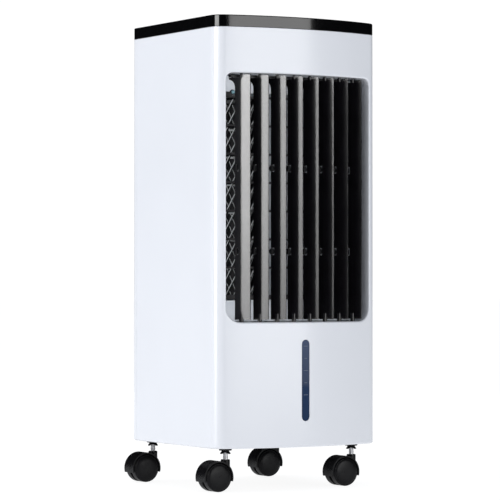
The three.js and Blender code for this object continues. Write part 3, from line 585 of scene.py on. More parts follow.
class Opening:
    """An opening with round corners in a wall. Its lip is a quarter round; its sleeve ends at a Y."""

    def __init__(self, half, low, high, low_corner, high_corner, lip, centre=0, sleeve_end=None):
        self.half = half
        self.low = low
        self.high = high
        self.low_corner = low_corner
        self.high_corner = high_corner
        self.lip = lip
        self.centre = centre
        self.sleeve_end = sleeve_end

    def reach(self):
        """The X of its widened edge, left and right."""
        return self.centre - self.half - self.lip, self.centre + self.half + self.lip

    def holds(self, x):
        left, right = self.reach()
        return left - 1e-6 <= x <= right + 1e-6

    def edge(self, x, upper):
        """(z, outward direction) of the widened edge at x."""
        corner = self.high_corner if upper else self.low_corner
        centre_z = self.high - corner if upper else self.low + corner
        sign = 1 if upper else -1
        across = x - self.centre
        beyond = max(abs(across) - (self.half - corner), 0)
        radius = corner + self.lip
        rise = math.sqrt(max(radius**2 - beyond**2, 0))
        side = math.copysign(beyond, across) / radius
        return centre_z + sign * rise, (side, sign * rise / radius)

    def stations(self, steps=7):
        """X values where a wall needs columns for this opening's corners."""
        found = []
        for corner in (self.low_corner, self.high_corner):
            radius = corner + self.lip
            start = self.half - corner
            for k in range(steps + 1):
                found.append(start + radius * math.sin(k / steps * math.pi / 2))
        return [self.centre + side * x for x in found for side in (-1, 1)]


def column_places(openings, edge_x, spacing):
    """Sorted X values: even columns, the openings' corners, and the ends of every opening kept exactly."""
    fixed = {round(x, 6) for opening in openings for x in opening.reach()} | {-edge_x, edge_x}
    free = {x for opening in openings for x in opening.stations()}
    count = int(2 * edge_x / spacing)
    free |= {-edge_x + 2 * edge_x * k / count for k in range(count + 1)}
    kept = sorted(fixed)
    for x in sorted(free):
        if abs(x) < edge_x and all(abs(x - other) > 0.4 for other in kept):
            kept.append(x)
    return sorted(kept)


def opening_rings(opening, xs, face_y, inward, wall):
    """The rounded lip of an opening, its sleeve, and the way back to the wall's inner face."""
    inside = [x for x in xs if opening.holds(x)]
    edge = [(x, *opening.edge(x, False)) for x in inside]
    edge += [(x, *opening.edge(x, True)) for x in reversed(inside)]

    def ring(grow, y_of):
        made = []
        for x, z, (nx, nz) in edge:
            shrink = opening.lip - grow
            px, pz = x - shrink * nx, z - shrink * nz
            made.append((px, y_of(px, x), pz))
        return made

    lip = opening.lip
    rings = []
    for grow, depth in quarter_round(lip, 0, inward, 5):
        rings.append(ring(grow, lambda px, x, d=depth: face_y(px, 0) + d))
    if opening.sleeve_end is None:
        rings.append(ring(0, lambda px, x: face_y(x, wall)))
    else:
        end = opening.sleeve_end
        half_round = [(0, -0.35 * lip), (0.15 * lip, 0), (0.85 * lip, 0), (lip, -0.35 * lip)]
        rings += [ring(grow, lambda px, x, d=d: end + inward * d) for grow, d in half_round]
    rings.append(ring(lip, lambda px, x: face_y(x, wall)))
    return quads(rings)


def face_sheet(xs, openings, face_y, inset, low, high):
    """The flat strips of a wall's face between its columns, leaving the openings out."""
    faces = []
    heights = []
    for x in xs:
        marks = {low, high}
        for opening in openings:
            if opening.holds(x):
                marks |= {opening.edge(x, False)[0], opening.edge(x, True)[0]}
        heights.append(sorted(marks))
    for i, (x0, x1) in enumerate(zip(xs, xs[1:])):
        crossed = [o for o in openings if o.holds(x0) and o.holds(x1)]
        crossed.sort(key=lambda o: o.low)
        starts = [(low, low)] + [(o.edge(x0, True)[0], o.edge(x1, True)[0]) for o in crossed]
        stops = [(o.edge(x0, False)[0], o.edge(x1, False)[0]) for o in crossed] + [(high, high)]
        for (start0, start1), (stop0, stop1) in zip(starts, stops):
            left = [z for z in heights[i] if start0 - 1e-6 <= z <= stop0 + 1e-6]
            right = [z for z in heights[i + 1] if start1 - 1e-6 <= z <= stop1 + 1e-6]
            face = [(x1, face_y(x1, inset), z) for z in right]
            face += [(x0, face_y(x0, inset), z) for z in reversed(left)]
            faces.append(face)
    return faces


def moulding(lead, xs, trail, face_y, openings, inward, low_round=2.6, high_round=0.5, steps=4):
    """A wall bent round corners. lead and trail are the places before and after its face."""
    low, high = UNDERSIDE, SHELL_TOP
    places = lead + face_places(xs, face_y) + trail
    below = quarter_round(low_round, low, 1, steps)
    above = quarter_round(high_round, high, -1, steps)[::-1]

    def row(profile):
        return [[(*place(inset), z) for place in places] for inset, z in profile]

    form = quads(row([(WALL, low)] + below), closed=False)
    form += quads(row(above + [(WALL, high)]), closed=False)
    flanks = (lead + [places[len(lead)]], [places[len(lead) + len(xs) - 1]] + trail)
    for inset, bottom, top in ((0, below[-1][1], above[0][1]), (WALL, low, high)):
        form += face_sheet(xs, openings, face_y, inset, bottom, top)
        for flank in flanks:
            form += quads([[(*place(inset), z) for place in flank] for z in (bottom, top)], closed=False)
    for opening in openings:
        form += opening_rings(opening, xs, face_y, inward, WALL)
    for place in (places[0], places[-1]):
        profile = [(WALL, low)] + below + above + [(WALL, high)]
        form.append([(*place(inset), z) for inset, z in profile])
    return form


# ---- Casings ----

OUTLET = Opening(118, 234.5, 580, 20, 10, lip=2.5, sleeve_end=-100)
WINDOW = Opening(6.25, 96.3, 209.8, 6.25, 6.25, lip=0.9)


def front_shell():
    edge_x = OUTLET.half + OUTLET.lip
    openings = [WINDOW, OUTLET]
    xs = column_places(openings, edge_x, 6)
    corner_turn = math.degrees(math.acos((edge_x - CORNER_X) / FRONT_CORNER))
    left = corner_places(-CORNER_X, CORNER_Y, FRONT_CORNER, 180, 180 + corner_turn, 12)[:-1]
    right = corner_places(CORNER_X, CORNER_Y, FRONT_CORNER, 360 - corner_turn, 360, 12)[1:]
    lead = [flank_place(-1, REAR_SPLIT), flank_place(-1, 0)] + left
    trail = right + [flank_place(1, 0), flank_place(1, REAR_SPLIT)]
    form = moulding(lead, xs, trail, front_y, openings, 1)
    piece("front_shell_moulding", form, WHITE, "housing", ["front_shell"])


CLEAT_X = 34
CLEAT_Z = 601
CLEAT_REACH = 16
CORD_OUTLET_X = -84


def cleat(x):
    """A post on the rear cover with a wider, eased head that keeps the cord on."""
    end = BACK + CLEAT_REACH
    profile = [(0, BACK - 1), (9, BACK - 1), (9, end - 4), (9.6, end - 2.6), (12.4, end - 2)]
    profile += [(13, end - 1.4), (13, end - 0.8), (12.4, end - 0.1), (11.5, end), (0, end)]
    return lathe(profile, 40, "Y", (x, 0, CLEAT_Z))


def round_opening(radius, z, lip, centre=0):
    return Opening(radius, z - radius, z + radius, radius, radius, lip, centre)


def rear_cover():
    edge_x = HALF_WIDTH - BACK_CORNER
    tank_bay = Opening(117, 73, 227.5, 3, 3, lip=1.5)
    latch_bore = round_opening(2.8, latch_z(), 0.4)
    filter_bay = Opening(106.5, 253.5, 556.5, 3, 3, lip=1.5, sleeve_end=78)
    cord_bore = round_opening(4.2, CLEAT_Z, 1.0, CORD_OUTLET_X)
    openings = [tank_bay, latch_bore, filter_bay, cord_bore]
    xs = column_places(openings, edge_x, 12)
    seam = REAR_SPLIT + GAP
    centre_y = BACK - BACK_CORNER
    left = corner_places(-edge_x, centre_y, BACK_CORNER, 180, 90, 10)[:-1]
    right = corner_places(edge_x, centre_y, BACK_CORNER, 90, 0, 10)[1:]
    lead = [flank_place(-1, seam)] + left
    trail = right + [flank_place(1, seam)]
    form = moulding(lead, xs, trail, back_y, openings, -1)
    form = fused(form, cleat(-CLEAT_X), cleat(CLEAT_X))
    piece("rear_cover_moulding", form, WHITE, "housing", ["rear_cover"])


def latch_z():
    """The height of the latch's pivot: its knob is the tallest part of it."""
    low, high = span("tank_latch")
    return (low.z + high.z) / 2


BUTTONS = ["power", "speed", "swing", "cool"]
BUTTON_RADIUS = 6.5
LENS_HALF_WIDTH = 32
LENS_HALF_DEPTH = 10
LENS_CORNER = 2
MARK_DEPTH = 0.2
MARK_PROUD = 0.02


def filled(outlines, z):
    """Flat faces inside the first outline and outside the others, at one height."""
    loops = [[Vector((x, y, 0)) for x, y in outline] for outline in outlines]
    points = [point for loop in loops for point in loop]
    return [[(points[i].x, points[i].y, z) for i in face] for face in tessellate_polygon(loops)]


def top_cover():
    """A flat lid with eased edges, holes for the buttons and the lens, and a skirt down to the shell."""
    places = closed_outline()
    round_top, skin, ease = 1.4, 2.5, 0.4
    underside = TOP - skin
    profile = [(WALL, underside), (WALL, COVER_BOTTOM), (0.3, COVER_BOTTOM), (0, COVER_BOTTOM + 0.3)]
    profile += quarter_round(round_top, TOP, -1, 5)[::-1]
    form = quads([[(*place(inset), z) for place in places] for inset, z in profile])
    lens = middle("display_lens")
    centres = [middle(f"button_{name}") for name in BUTTONS]

    def holes(grow):
        gap = GAP + grow
        found = [circle(c.x, c.y, BUTTON_RADIUS + gap, 40) for c in centres]
        return found + [lens_outline(lens, -gap, LENS_CORNER + grow)]

    form += filled([[place(round_top) for place in places]] + holes(ease), TOP)
    form += filled([[place(WALL) for place in places]] + holes(0), underside)
    for wide, mid, narrow in zip(holes(ease), holes(0.3 * ease), holes(0)):
        rows = [(wide, TOP), (mid, TOP - 0.3 * ease), (narrow, TOP - ease), (narrow, underside)]
        form += quads([[(x, y, z) for x, y in outline] for outline, z in rows])
    piece("top_cover_moulding", form, GLOSS_BLACK, "housing", ["top_cover"])


def lens_outline(centre, inset, corner):
    wide, deep = LENS_HALF_WIDTH - inset, LENS_HALF_DEPTH - inset
    return rounded(centre.x - wide, centre.x + wide, centre.y - deep, centre.y + deep, corner)


def display_lens():
    centre = middle("display_lens")
    low, high = span("display_lens")

    def pane(inset):
        return lens_outline(centre, inset, LENS_CORNER - 0.5 * inset)

    form = cushioned(pane, low.z + 0.5, high.z, 0.6, ends=(False, True))
    flange = rounded(low.x, high.x, low.y, high.y, 3)
    form = fused(form, prism(flange, low.z, low.z + 1.5))
    piece("display_lens_pane", form, LENS, "housing", ["display_lens"])
    ends = high.z - MARK_DEPTH, high.z + MARK_PROUD
    marks = digit(centre.x - 9, centre.y, *ends) + digit(centre.x + 1, centre.y, *ends)
    for k in range(4):
        marks += prism(circle(centre.x + 14 + 4 * k, centre.y, 0.9, 16), *ends)
    piece("display_marks", marks, MARK, "housing")


def digit(x, y, low, high):
    """A generic seven-bar figure eight, all bars shown."""
    wide, tall, half = 6.0, 5.0, 0.45
    reach = tall / 2 - 0.9
    bars = []
    for bar_y in (y - tall, y, y + tall):
        bars += box(x + 1.2, x + wide - 1.2, bar_y - half, bar_y + half, low, high)
    for bar_x in (x + 0.2, x + wide - 0.2):
        for bar_y in (y - tall / 2, y + tall / 2):
            bars += box(bar_x - half, bar_x + half, bar_y - reach, bar_y + reach, low, high)
    return bars


def top_button(name):
    """A key cap with a shallow dish, a raised ring and a flange below."""
    node = f"button_{name}"
    centre = middle(node)
    low, high = span(node)
    top, r = high.z, BUTTON_RADIUS
    flange = r + 1.8
    profile = [(0, low.z), (r, low.z), (r, top - 4.4), (flange, top - 4.4), (flange, top - 2.7)]
    profile += [(r, top - 2.7), (r, top - 0.7), (r - 0.2, top - 0.2), (r - 0.7, top), (5.1, top)]
    profile += [(4.7, top - 0.25), (3.2, top - 0.45), (1.6, top - 0.55), (0, top - 0.58)]
    form = lathe(profile, 48, "Z", (centre.x, centre.y, 0))
    piece(f"key_{name}", form, GLOSS_BLACK, node, [node], crease=40)
    ring = [(2.6, top - 0.6), (3.0, top - 0.6), (3.0, top - 0.42), (2.6, top - 0.46)]
    form = lathe(ring, 40, "Z", (centre.x, centre.y, 0))
    piece(f"key_ring_{name}", form, MARK, node)


def level_window():
    """A pane with a domed edge, its rim behind the wall, and fine graduation bars."""
    low, high = span("level_window")
    face = FRONT_CENTRE_Y - FRONT_RADIUS + 0.4

    def slot_outline(inset):
        half = WINDOW.half - GAP - inset
        return rounded(-half, half, WINDOW.low + GAP + inset, WINDOW.high - GAP - inset, half - 0.001, 10)

    form = cushioned(slot_outline, face, face + 4, 0.9, "Y", ends=(True, False))
    rim = rounded(low.x, high.x, low.z, high.z, (high.x - low.x) / 2 - 0.001, 10)
    form = fused(form, prism(rim, high.y - 1.8, high.y, "Y"))
    piece("level_window_pane", form, WINDOW_BLUE, "housing", ["level_window"])
    bars = []
    first, pitch, tall = WINDOW.high - 9, 17, 0.35
    for k, half in enumerate((3.4, 2.2, 3.4, 2.2, 3.4)):
        z = first - pitch * k
        bars += box(-half, half, face - 0.04, face + 0.2, z - tall, z + tall)
    piece("level_marks", bars, MARK_BLUE, "housing")


# ---- Louvers and their bars ----

LOUVER_COUNT = 8
LOUVER_REST = 34.5
BLADE_FRONT = 13.8
BLADE_REAR = 9.3
BLADE_HALF = 1  # half its thickness
BOSS_RADIUS = 2.5
LOWER_BOSS = 8
UPPER_BOSS = 4
COLLAR_RADIUS = 3.2
PIVOT_RADIUS = 2.0
BLADE_BOTTOM = OUTLET.low + 3.5
BLADE_TOP = OUTLET.high - 2
LEVER_REACH = 18.5
LEVER_PIN = 14
LEVER_TOP = BLADE_TOP - 3.6
LEVER_BOTTOM = LEVER_TOP - 3
HOLLOW_HEIGHT = 12
TIE_PIN = 8.1
TIE_HEIGHTS = [middle("tie_bar_lower").z, middle("tie_bar_upper").z]
LINK_PIN = 1.3
LINK_PLAY = 0.45  # the room round each pin in its bar


def joint_place(name):
    joint = next(j for j in frame["joints"] if j["name"] == name)
    return Vector(joint["pos_m"]) / MM - CENTRE


def louver_pivot(number):
    place = joint_place(f"louver_{number}_swing")
    return Vector((place.x, place.y))


def link_pin(number, distance):
    """Where a pin stands at rest, a distance behind its louver's pivot."""
    turn = math.radians(LOUVER_REST)
    return louver_pivot(number) + Vector((-math.sin(turn), math.cos(turn))) * distance


def blade_outline():
    """The blade from its side: Y from the front edge to the rear edge, and Z."""
    hollow = LEVER_REACH - BLADE_REAR
    notch_y = BLADE_REAR - 5.2
    corner = 1.2
    outline = arc(-BLADE_FRONT + corner, BLADE_BOTTOM + corner, corner, 180, 270, 4)
    outline.append((BLADE_REAR, BLADE_BOTTOM))
    for z in TIE_HEIGHTS:
        outline += [(BLADE_REAR, z - 5), (notch_y, z - 5), (notch_y, z + 5), (BLADE_REAR, z + 5)]
    for step in range(11):
        turn = math.radians(9 * step)
        drop = HOLLOW_HEIGHT * (1 - math.sin(turn))
        outline.append((LEVER_REACH - hollow * math.cos(turn), LEVER_BOTTOM - drop))
    outline += [(LEVER_REACH, LEVER_TOP), (3, LEVER_TOP), (3, BLADE_TOP)]
    return outline + arc(-BLADE_FRONT + corner, BLADE_TOP - corner, corner, 90, 180, 4)


def louver_mesh():
    """One blade with its bosses and pins, standing at the origin."""
    plate = prism(blade_outline(), -BLADE_HALF, BLADE_HALF, "X")
    posts = [
        prism(circle(0, 0, BOSS_RADIUS, 20), BLADE_BOTTOM, BLADE_BOTTOM + LOWER_BOSS),
        prism(circle(0, 0, COLLAR_RADIUS, 24), OUTLET.low + GAP, BLADE_BOTTOM + 0.5),
        prism(circle(0, 0, BOSS_RADIUS, 20), BLADE_TOP - UPPER_BOSS, BLADE_TOP),
        prism(circle(0, 0, PIVOT_RADIUS, 20), OUTLET.low - 4, BLADE_BOTTOM + 1),
        prism(circle(0, 0, PIVOT_RADIUS, 20), BLADE_TOP - 1, OUTLET.high + 4),
        prism(circle(0, LEVER_PIN, LINK_PIN, 16), LEVER_TOP - 1, BLADE_TOP + 0.5),
    ]
    for z in TIE_HEIGHTS:
        posts.append(prism(circle(0, TIE_PIN, 0.9 * LINK_PIN, 16), z - 5.5, z + 5.5))
    mesh = welded("louver_blade", fused(plate, *posts), MM)
    shade(mesh, 35)
    mesh.materials.append(LOUVER_BLACK)
    return mesh


def louvers():
    mesh = louver_mesh()
    for number in range(1, LOUVER_COUNT + 1):
        pivot = louver_pivot(number)
        blade = bpy.data.objects.new(f"louver_{number}_blade", mesh)
        bpy.context.scene.collection.objects.link(blade)
        place = Matrix.Translation((Vector((pivot.x, pivot.y, 0)) + CENTRE) * MM)
        blade.matrix_world = place @ Matrix.Rotation(math.radians(LOUVER_REST), 4, "Z")
        soften(blade, 0.35)
        even_normals(blade)
        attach(blade, f"louver_{number}")
        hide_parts(f"louver_{number}")


def ribbon(points, thickness):
    """A strip of even thickness to the left of a line of points."""
    shifted = []
    for i, point in enumerate(points):
        before = points[max(i - 1, 0)]
        after = points[min(i + 1, len(points) - 1)]
        along = (after - before).normalized()
        shifted.append((point.x - thickness * along.y, point.y + thickness * along.x))
    return [(p.x, p.y) for p in points] + shifted[::-1]


def pin_line(distance):
    return [link_pin(number, distance) for number in range(1, LOUVER_COUNT + 1)]


def drive_bar():
    low, high = span("drive_bar")
    half = 3.2
    line = pin_line(LEVER_PIN)
    ends = [line[0] - Vector((4, 0)), *line, line[-1] + Vector((4, 0))]
    strip = prism(ribbon([Vector((p.x, p.y - half)) for p in ends], 2 * half), low.z, high.z)
    eyes = []
    for p in line:
        eyes += prism(circle(p.x, p.y, LINK_PIN + LINK_PLAY, 16), low.z - 1, high.z + 1)
    form = carved(strip, eyes)
    piece("drive_bar_strip", form, BLACK, "drive_bar", ["drive_bar"], rounding=0.4)


def tie_bar(name):
    """A thin strip behind the blades, with a snap clip round each blade's pin."""
    low, high = span(name)
    centre_z = (low.z + high.z) / 2
    outer, inner = 3.0, LINK_PIN + LINK_PLAY
    line = pin_line(TIE_PIN)
    edge = [Vector((p.x, p.y + outer - 1)) for p in line]
    strip = prism(ribbon(edge, 2), centre_z - 2, centre_z + 2)
    clips, bores = [], []
    mouth = 0.85
    for p in line:
        clips += prism(circle(p.x, p.y, outer, 24), low.z, high.z)
        bores += prism(circle(p.x, p.y, inner, 24), low.z - 1, high.z + 1)
        bores += box(p.x - mouth, p.x + mouth, p.y - outer - 1, p.y - inner + 0.3, low.z - 1, high.z + 1)
    form = carved(fused(strip, clips), bores)
    piece(f"{name}_strip", form, BLACK, name, [name], rounding=0.25)


# ---- Fan ----

WHEEL_RADIUS = 47.5
WHEEL_SECTIONS = 7
WHEEL_BLADES = 26
WHEEL_SKEW = 23.6
BLADE_DEPTH = 10.5
DISC = 2.4  # a disc's thickness
WHEEL_RING = WHEEL_RADIUS - 12.8  # the inner radius of the discs between the two ends
WHEEL_PIN = 11  # how far the pin stands above the top disc


def wheel_blade(low, high, start, skew, levels=4, steps=4):
    """One curved blade, skewed as it climbs; its section is an arc of even thickness."""
    inner, bow, half = WHEEL_RADIUS - BLADE_DEPTH, 0.9, 0.6
    section = []
    for side in (1, -1):
        for s in range(steps + 1):
            share = s / steps if side == 1 else 1 - s / steps
            taper = half * (0.8 + 0.2 * math.sin(math.pi * share))
            across = bow * math.sin(math.pi * share) + side * taper
            section.append((inner + BLADE_DEPTH * share, across))
    rings = []
    for k in range(levels + 1):
        turn = math.radians(start + skew * k / levels)
        c, s = math.cos(turn), math.sin(turn)
        z = low + (high - low) * k / levels
        rings.append([(r * c - a * s, r * s + a * c, z) for r, a in section])
    return tube(rings)


def wheel_pitch():
    """The height of one section of the wheel: its discs stand one pitch apart."""
    low, high = span("crossflow_wheel")
    return (high.z - WHEEL_PIN - low.z - DISC) / WHEEL_SECTIONS


def disc_profile(inner, z):
    """A disc of the wheel, its rim's edges eased; an inner radius above 0 leaves a ring."""
    rim, top = WHEEL_RADIUS - 0.8, z + DISC
    return [(inner, z), (rim - 0.5, z), (rim, z + 0.5), (rim, top - 0.5), (rim - 0.5, top), (inner, top)]


def crossflow_wheel():
    low, high = span("crossflow_wheel")
    hub = joint_place("fan_spin")
    paint = wheel_black(hub + CENTRE, WHEEL_RADIUS - BLADE_DEPTH, WHEEL_RADIUS)
    pitch = wheel_pitch()
    top = high.z - WHEEL_PIN
    blades, discs = [], []
    for section in range(WHEEL_SECTIONS + 1):
        z = low.z + section * pitch
        at_end = section in (0, WHEEL_SECTIONS)
        discs += lathe(disc_profile(0 if at_end else WHEEL_RING, z), 72)
        if section == WHEEL_SECTIONS:
            break
        for k in range(WHEEL_BLADES):
            start = 360 / WHEEL_BLADES * k + section * WHEEL_SKEW
            blades += wheel_blade(z + DISC - 0.3, z + pitch + 0.3, start, WHEEL_SKEW)
    pin = lathe([(0, top - 1), (3, top - 1), (3, high.z - 0.6), (2.4, high.z), (0, high.z)], 20)
    form = fused(discs, blades, pin)
    form = carved(form, prism(circle(0, 0, 4.3, 24), low.z - 1, low.z + DISC + 1))
    form = moved(form, hub.x, hub.y)
    piece("crossflow_wheel_cage", form, paint, "fan", ["crossflow_wheel"], crease=40)


def on_wheel(radius, degrees):
    hub = joint_place("fan_spin")
    angle = math.radians(degrees)
    return Vector((hub.x + radius * math.cos(angle), hub.y + radius * math.sin(angle)))


CASING_FRONT = OUTLET.sleeve_end + 0.6


def scroll_line():
    """Close to the wheel at its back, widening round its right side and on to the outlet."""
    stops = [on_wheel(53, 100), on_wheel(62, 65), on_wheel(80, 35), on_wheel(106, 10)]
    stops += [Vector((92, -54)), Vector((OUTLET.half, CASING_FRONT))]
    return [Vector((p.x, p.y)) for p in smooth_path([(p.x, p.y, 0) for p in stops], 6)]


def tongue_line():
    return [on_wheel(53, 205), on_wheel(57, 215), Vector((-OUTLET.half, CASING_FRONT))]


def scroll_casing():
    """Walls, floor and ceiling of the air way, with flat boards above and below the wheel; the wall behind
    the wheel is a black sheet, painted shade where the white wall lies in shadow.
    """
    low, high = span("scroll_casing")
    hub = joint_place("fan_spin")
    floor_z, ceiling_z, plate, overlap = 262, 552.5, 2.5, 1
    wall_low, wall_high = floor_z + overlap, ceiling_z + overlap
    scroll, tongue = scroll_line(), tongue_line()[::-1]
    # the stretch of wall behind the wheel, up to where light reaches it, is black: painted shade
    lit_from = next(i for i, p in enumerate(scroll) if p.x > hub.x + 65)
    shaded_lines = (scroll[: lit_from + 1], tongue)
    walls = [prism(ribbon(line, plate), wall_low, wall_high) for line in shaded_lines]
    ends = [(low.z, wall_low), (wall_high, high.z)]
    white_walls = [prism(ribbon(line, plate), z0, z1) for line in (scroll, tongue) for z0, z1 in ends]
    white_walls.append(prism(ribbon(scroll[lit_from:], plate), floor_z, ceiling_z + 2))
    inlet = [on_wheel(53, 205 - 13.125 * k) for k in range(1, 8)]
    front_edge = CASING_FRONT + 4.5
    plan = [(p.x, max(p.y, front_edge)) for p in tongue + inlet + scroll]
    plates = [prism(plan, z, z + plate) for z in (floor_z, ceiling_z)]
    boards = [box(-114, 104, -84, -81.5, z0, z1) for z0, z1 in ends]
    bore = prism(circle(hub.x, hub.y, 8, 32), low.z - 1, high.z + 1)
    form = carved(fused(*plates, *boards, *white_walls), bore, *walls)
    replaced = ["scroll_casing"]
    piece("scroll_casing_duct", form, INNER_WHITE, "housing", replaced, rounding=0.4)
    # scroll_wall is painted shade: a black sheet where the white air way lies in shadow behind the wheel
    piece("scroll_wall", fused(*walls), BLACK, "housing", rounding=0.4)


def outlet_guard():
    """Posts and ribs level with the wheel's discs, and a lug with a cross-head screw."""
    low, high = span("outlet_guard")
    wheel_low = span("crossflow_wheel")[0].z
    pitch = wheel_pitch()
    rib, rail_drop, post = 1.5, 4.5, 3
    front, back = high.y - 3, high.y
    bars = []
    for k in range(WHEEL_SECTIONS + 1):
        z = wheel_low + k * pitch + DISC / 2
        drop = rib if k else rail_drop
        bars.append(box(low.x, high.x, front, back, z - drop, z + rib))
    screw_x, screw_z = -91.5, 555.3
    bars.append(box(low.x, screw_x, front, back, z - 1, screw_z + 0.2))
    bars.append(prism(circle(screw_x, screw_z, 3.6, 32), front, back, "Y"))
    posts = [box(x, x + post, front, back, low.z, high.z) for x in (low.x, high.x - post)]
    form = fused(*posts, *bars)
    piece("outlet_guard_ribs", form, BLACK, "housing", ["outlet_guard"], rounding=0.6)
    head = [(0, 0), (2.7, 0), (2.6, 1.0), (1.9, 1.5), (0, 1.6)]
    slots = [box(-half, half, -tall, tall, 1.0, 3) for half, tall in ((1.6, 0.35), (0.35, 1.6))]
    screw = turned(carved(lathe(head, 32), fused(*slots)), 90, "X")
    piece("guard_screw", moved(screw, screw_x, front, screw_z), SCREW, "housing")


def top_bearing():
    """A pressed bracket with a raised bearing cup, and a screw at each end."""
    low, high = span("top_bearing")
    hub = joint_place("fan_spin")
    bottom, plate, bore, cup_radius = low.z, low.z + 2, 3.4, 12
    strap = prism(rounded(low.x, high.x, hub.y - 6, hub.y + 6, 5), bottom, plate)
    cup = [(bore, bottom + 0.5), (cup_radius, bottom + 0.5), (cup_radius, bottom + 5)]
    cup += [(11, high.z - 0.6), (10, high.z), (bore, high.z)]
    form = carved(strap, prism(circle(hub.x, hub.y, bore, 24), bottom - 1, high.z))
    form = fused(form, lathe(cup, 40, "Z", (hub.x, hub.y, 0)))
    piece("top_bearing_bracket", form, STEEL, "housing", ["top_bearing"], rounding=0.3)
    head = [(0, plate), (3.4, plate), (3.2, bottom + 3.6), (2.2, bottom + 4.5), (0, bottom + 4.7)]
    for side, x in (("left", low.x + 5), ("right", high.x - 5)):
        slots = []
        for half, tall in ((2, 0.4), (0.4, 2)):
            slots.append(box(x - half, x + half, hub.y - tall, hub.y + tall, bottom + 3.7, bottom + 6))
        form = carved(lathe(head, 24, "Z", (x, hub.y, 0)), *slots)
        piece(f"bearing_screw_{side}", form, STEEL, "housing")


# ---- Rear: filter, pad, tank and cord ----


def rear_filter():
    """A frame with sloping slats and two mullions."""
    low, high = span("rear_filter_frame")
    rim, slat_count = 12, 9
    outer = rounded(low.x, high.x, low.z, high.z, 2.6)
    inner = rounded(low.x + rim, high.x - rim, low.z + rim, high.z - rim, 4)
    form = carved(prism(outer, low.y, high.y, "Y"), prism(inner, low.y - 1, high.y + 1, "Y"))
    slats, mullions = [], []
    front, back = high.y - 9, high.y - 0.4
    pitch = (high.z - low.z - 2 * rim) / (slat_count + 1)
    for k in range(slat_count):
        z = low.z + rim + (k + 1) * pitch
        section = [(front, z + 3.2), (front, z + 1.4), (back, z - 3.2), (back, z - 1.4)]
        slats += prism(section, low.x + rim - 1, high.x - rim + 1, "X")
    for x in (-32, 32):
        mullions += box(x - 1.5, x + 1.5, high.y - 10, high.y - 1, low.z + rim - 1, high.z - rim + 1)
    form = fused(form, slats, mullions)
    replaced = ["rear_filter_frame"]
    piece("rear_filter_grille", form, WHITE, "rear_filter", replaced, rounding=0.5)


def dust_filter():
    """A net of fine crossing strands in a thin edge band."""
    low, high = span("dust_filter")
    centre_y = (low.y + high.y) / 2
    band = carved(
        box(low.x, high.x, low.y, high.y, low.z, high.z),
        box(low.x + 5, high.x - 5, low.y - 1, high.y + 1, low.z + 5, high.z - 5),
    )
    piece("dust_filter_band", band, NET, "rear_filter", ["dust_filter"], rounding=0.5)
    strands = []
    pitch, half, margin, tuck = 3.2, 0.4, 4, 4.5
    wide = high.x - low.x - 2 * margin
    tall = high.z - low.z - 2 * margin
    across, up = int(wide / pitch), int(tall / pitch)
    for k in range(1, across):
        x = low.x + margin + k * wide / across
        strands += box(x - half, x + half, centre_y - 0.9, centre_y - 0.1, low.z + tuck, high.z - tuck)
    for k in range(1, up):
        z = low.z + margin + k * tall / up
        strands += box(low.x + tuck, high.x - tuck, centre_y + 0.1, centre_y + 0.9, z - half, z + half)
    piece("dust_filter_net", strands, NET, "rear_filter")


def cooling_pad():
    """A block of fluted paper: its faces rise and fall with two crossing sets of flutes."""
    low, high = span("cooling_pad")
    across, up = 104, 150
    depth, pitch = 1.3, 7.0

    def flute(x, z):
        return depth * abs(math.sin(math.pi * (x + z) / pitch) * math.sin(math.pi * (x - z) / pitch))

    def point(i, j, y, sign):
        x = low.x + (high.x - low.x) * i / across
        z = low.z + (high.z - low.z) * j / up
        if i not in (0, across) and j not in (0, up):
            y += sign * flute(x, z)
        return x, y, z

    def grid(y, sign):
        return [[point(i, j, y, sign) for i in range(across + 1)] for j in range(up + 1)]

    front, back = grid(low.y, 1), grid(high.y, -1)
    sheets = [front, back, [front[0], back[0]], [front[-1], back[-1]]]
    sheets += [[[row[i] for row in front], [row[i] for row in back]] for i in (0, -1)]
    form = [face for sheet in sheets for face in quads(sheet, closed=False)]
    piece("cooling_pad_block", form, PAPER, "housing", ["cooling_pad"], crease=60)


def water_tank():
    """A thin-walled tub whose thick rear panel fills the bay and has a hand grip pressed into it."""
    low, high = span("water_tank")
    side, wall, tub_back, tub_low, tub_high = 115, 3, 113, 76, 222
    shoulder_y = front_y(100, 10) + 3

    def tub(inset):
        wide, corner = side - inset, 12 - inset
        front = [(x, front_y(x, 10 + inset)) for x in range(-80, 81, 20)]
        left = arc(-wide + corner, shoulder_y, corner, 180, 245, 6)
        right = arc(wide - corner, shoulder_y, corner, 295, 360, 6)
        return left + front + right + [(wide, tub_back - inset), (-wide, tub_back - inset)]

    def panel(inset):
        return rounded(low.x + inset, high.x - inset, low.z + inset, high.z - inset, 3)

    def grip(inset):
        return rounded(-48 + inset, 48 - inset, 178 + inset, 210 - inset, 8 - inset)

    form = carved(prism(tub(0), tub_low, tub_high), prism(tub(wall), tub_low + wall, tub_high + 1))
    form = fused(form, cushioned(panel, 112, high.y, 1.6, "Y", ends=(False, True)))
    form = carved(form, cushioned(grip, high.y - 7, high.y + 3, 2.5, "Y", ends=(True, False)))
    piece("water_tank_tub", form, TANK, "tank", ["water_tank"], rounding=0.5)


def tank_latch():
    """A round knob with a flat arm that turns down over the tank's panel."""
    low, high = span("tank_latch")
    z = latch_z()
    face = BACK + 0.5

    def arm(inset):
        tip = 4.5 - inset
        return arc(high.x - 4.5, z, tip, -90, 90, 8) + [(0, z + tip), (0, z - tip)]

    knob = [(0, face), (7.6, face), (8, face + 0.4), (8, high.y - 1.4), (7.4, high.y - 0.4), (6.4, high.y)]
    knob += [(4, high.y - 0.5), (0, high.y - 0.7)]
    form = fused(
        cushioned(arm, face, face + 3.5, 0.6, "Y"),
        lathe(knob, 40, "Y", (0, 0, z)),
        prism(circle(0, z, 2.2, 20), low.y, face + 1, "Y"),
    )
    piece("tank_latch_turn_knob", form, GREY, "tank_latch", ["tank_latch"], crease=40)


CORD_RADIUS = 3.1


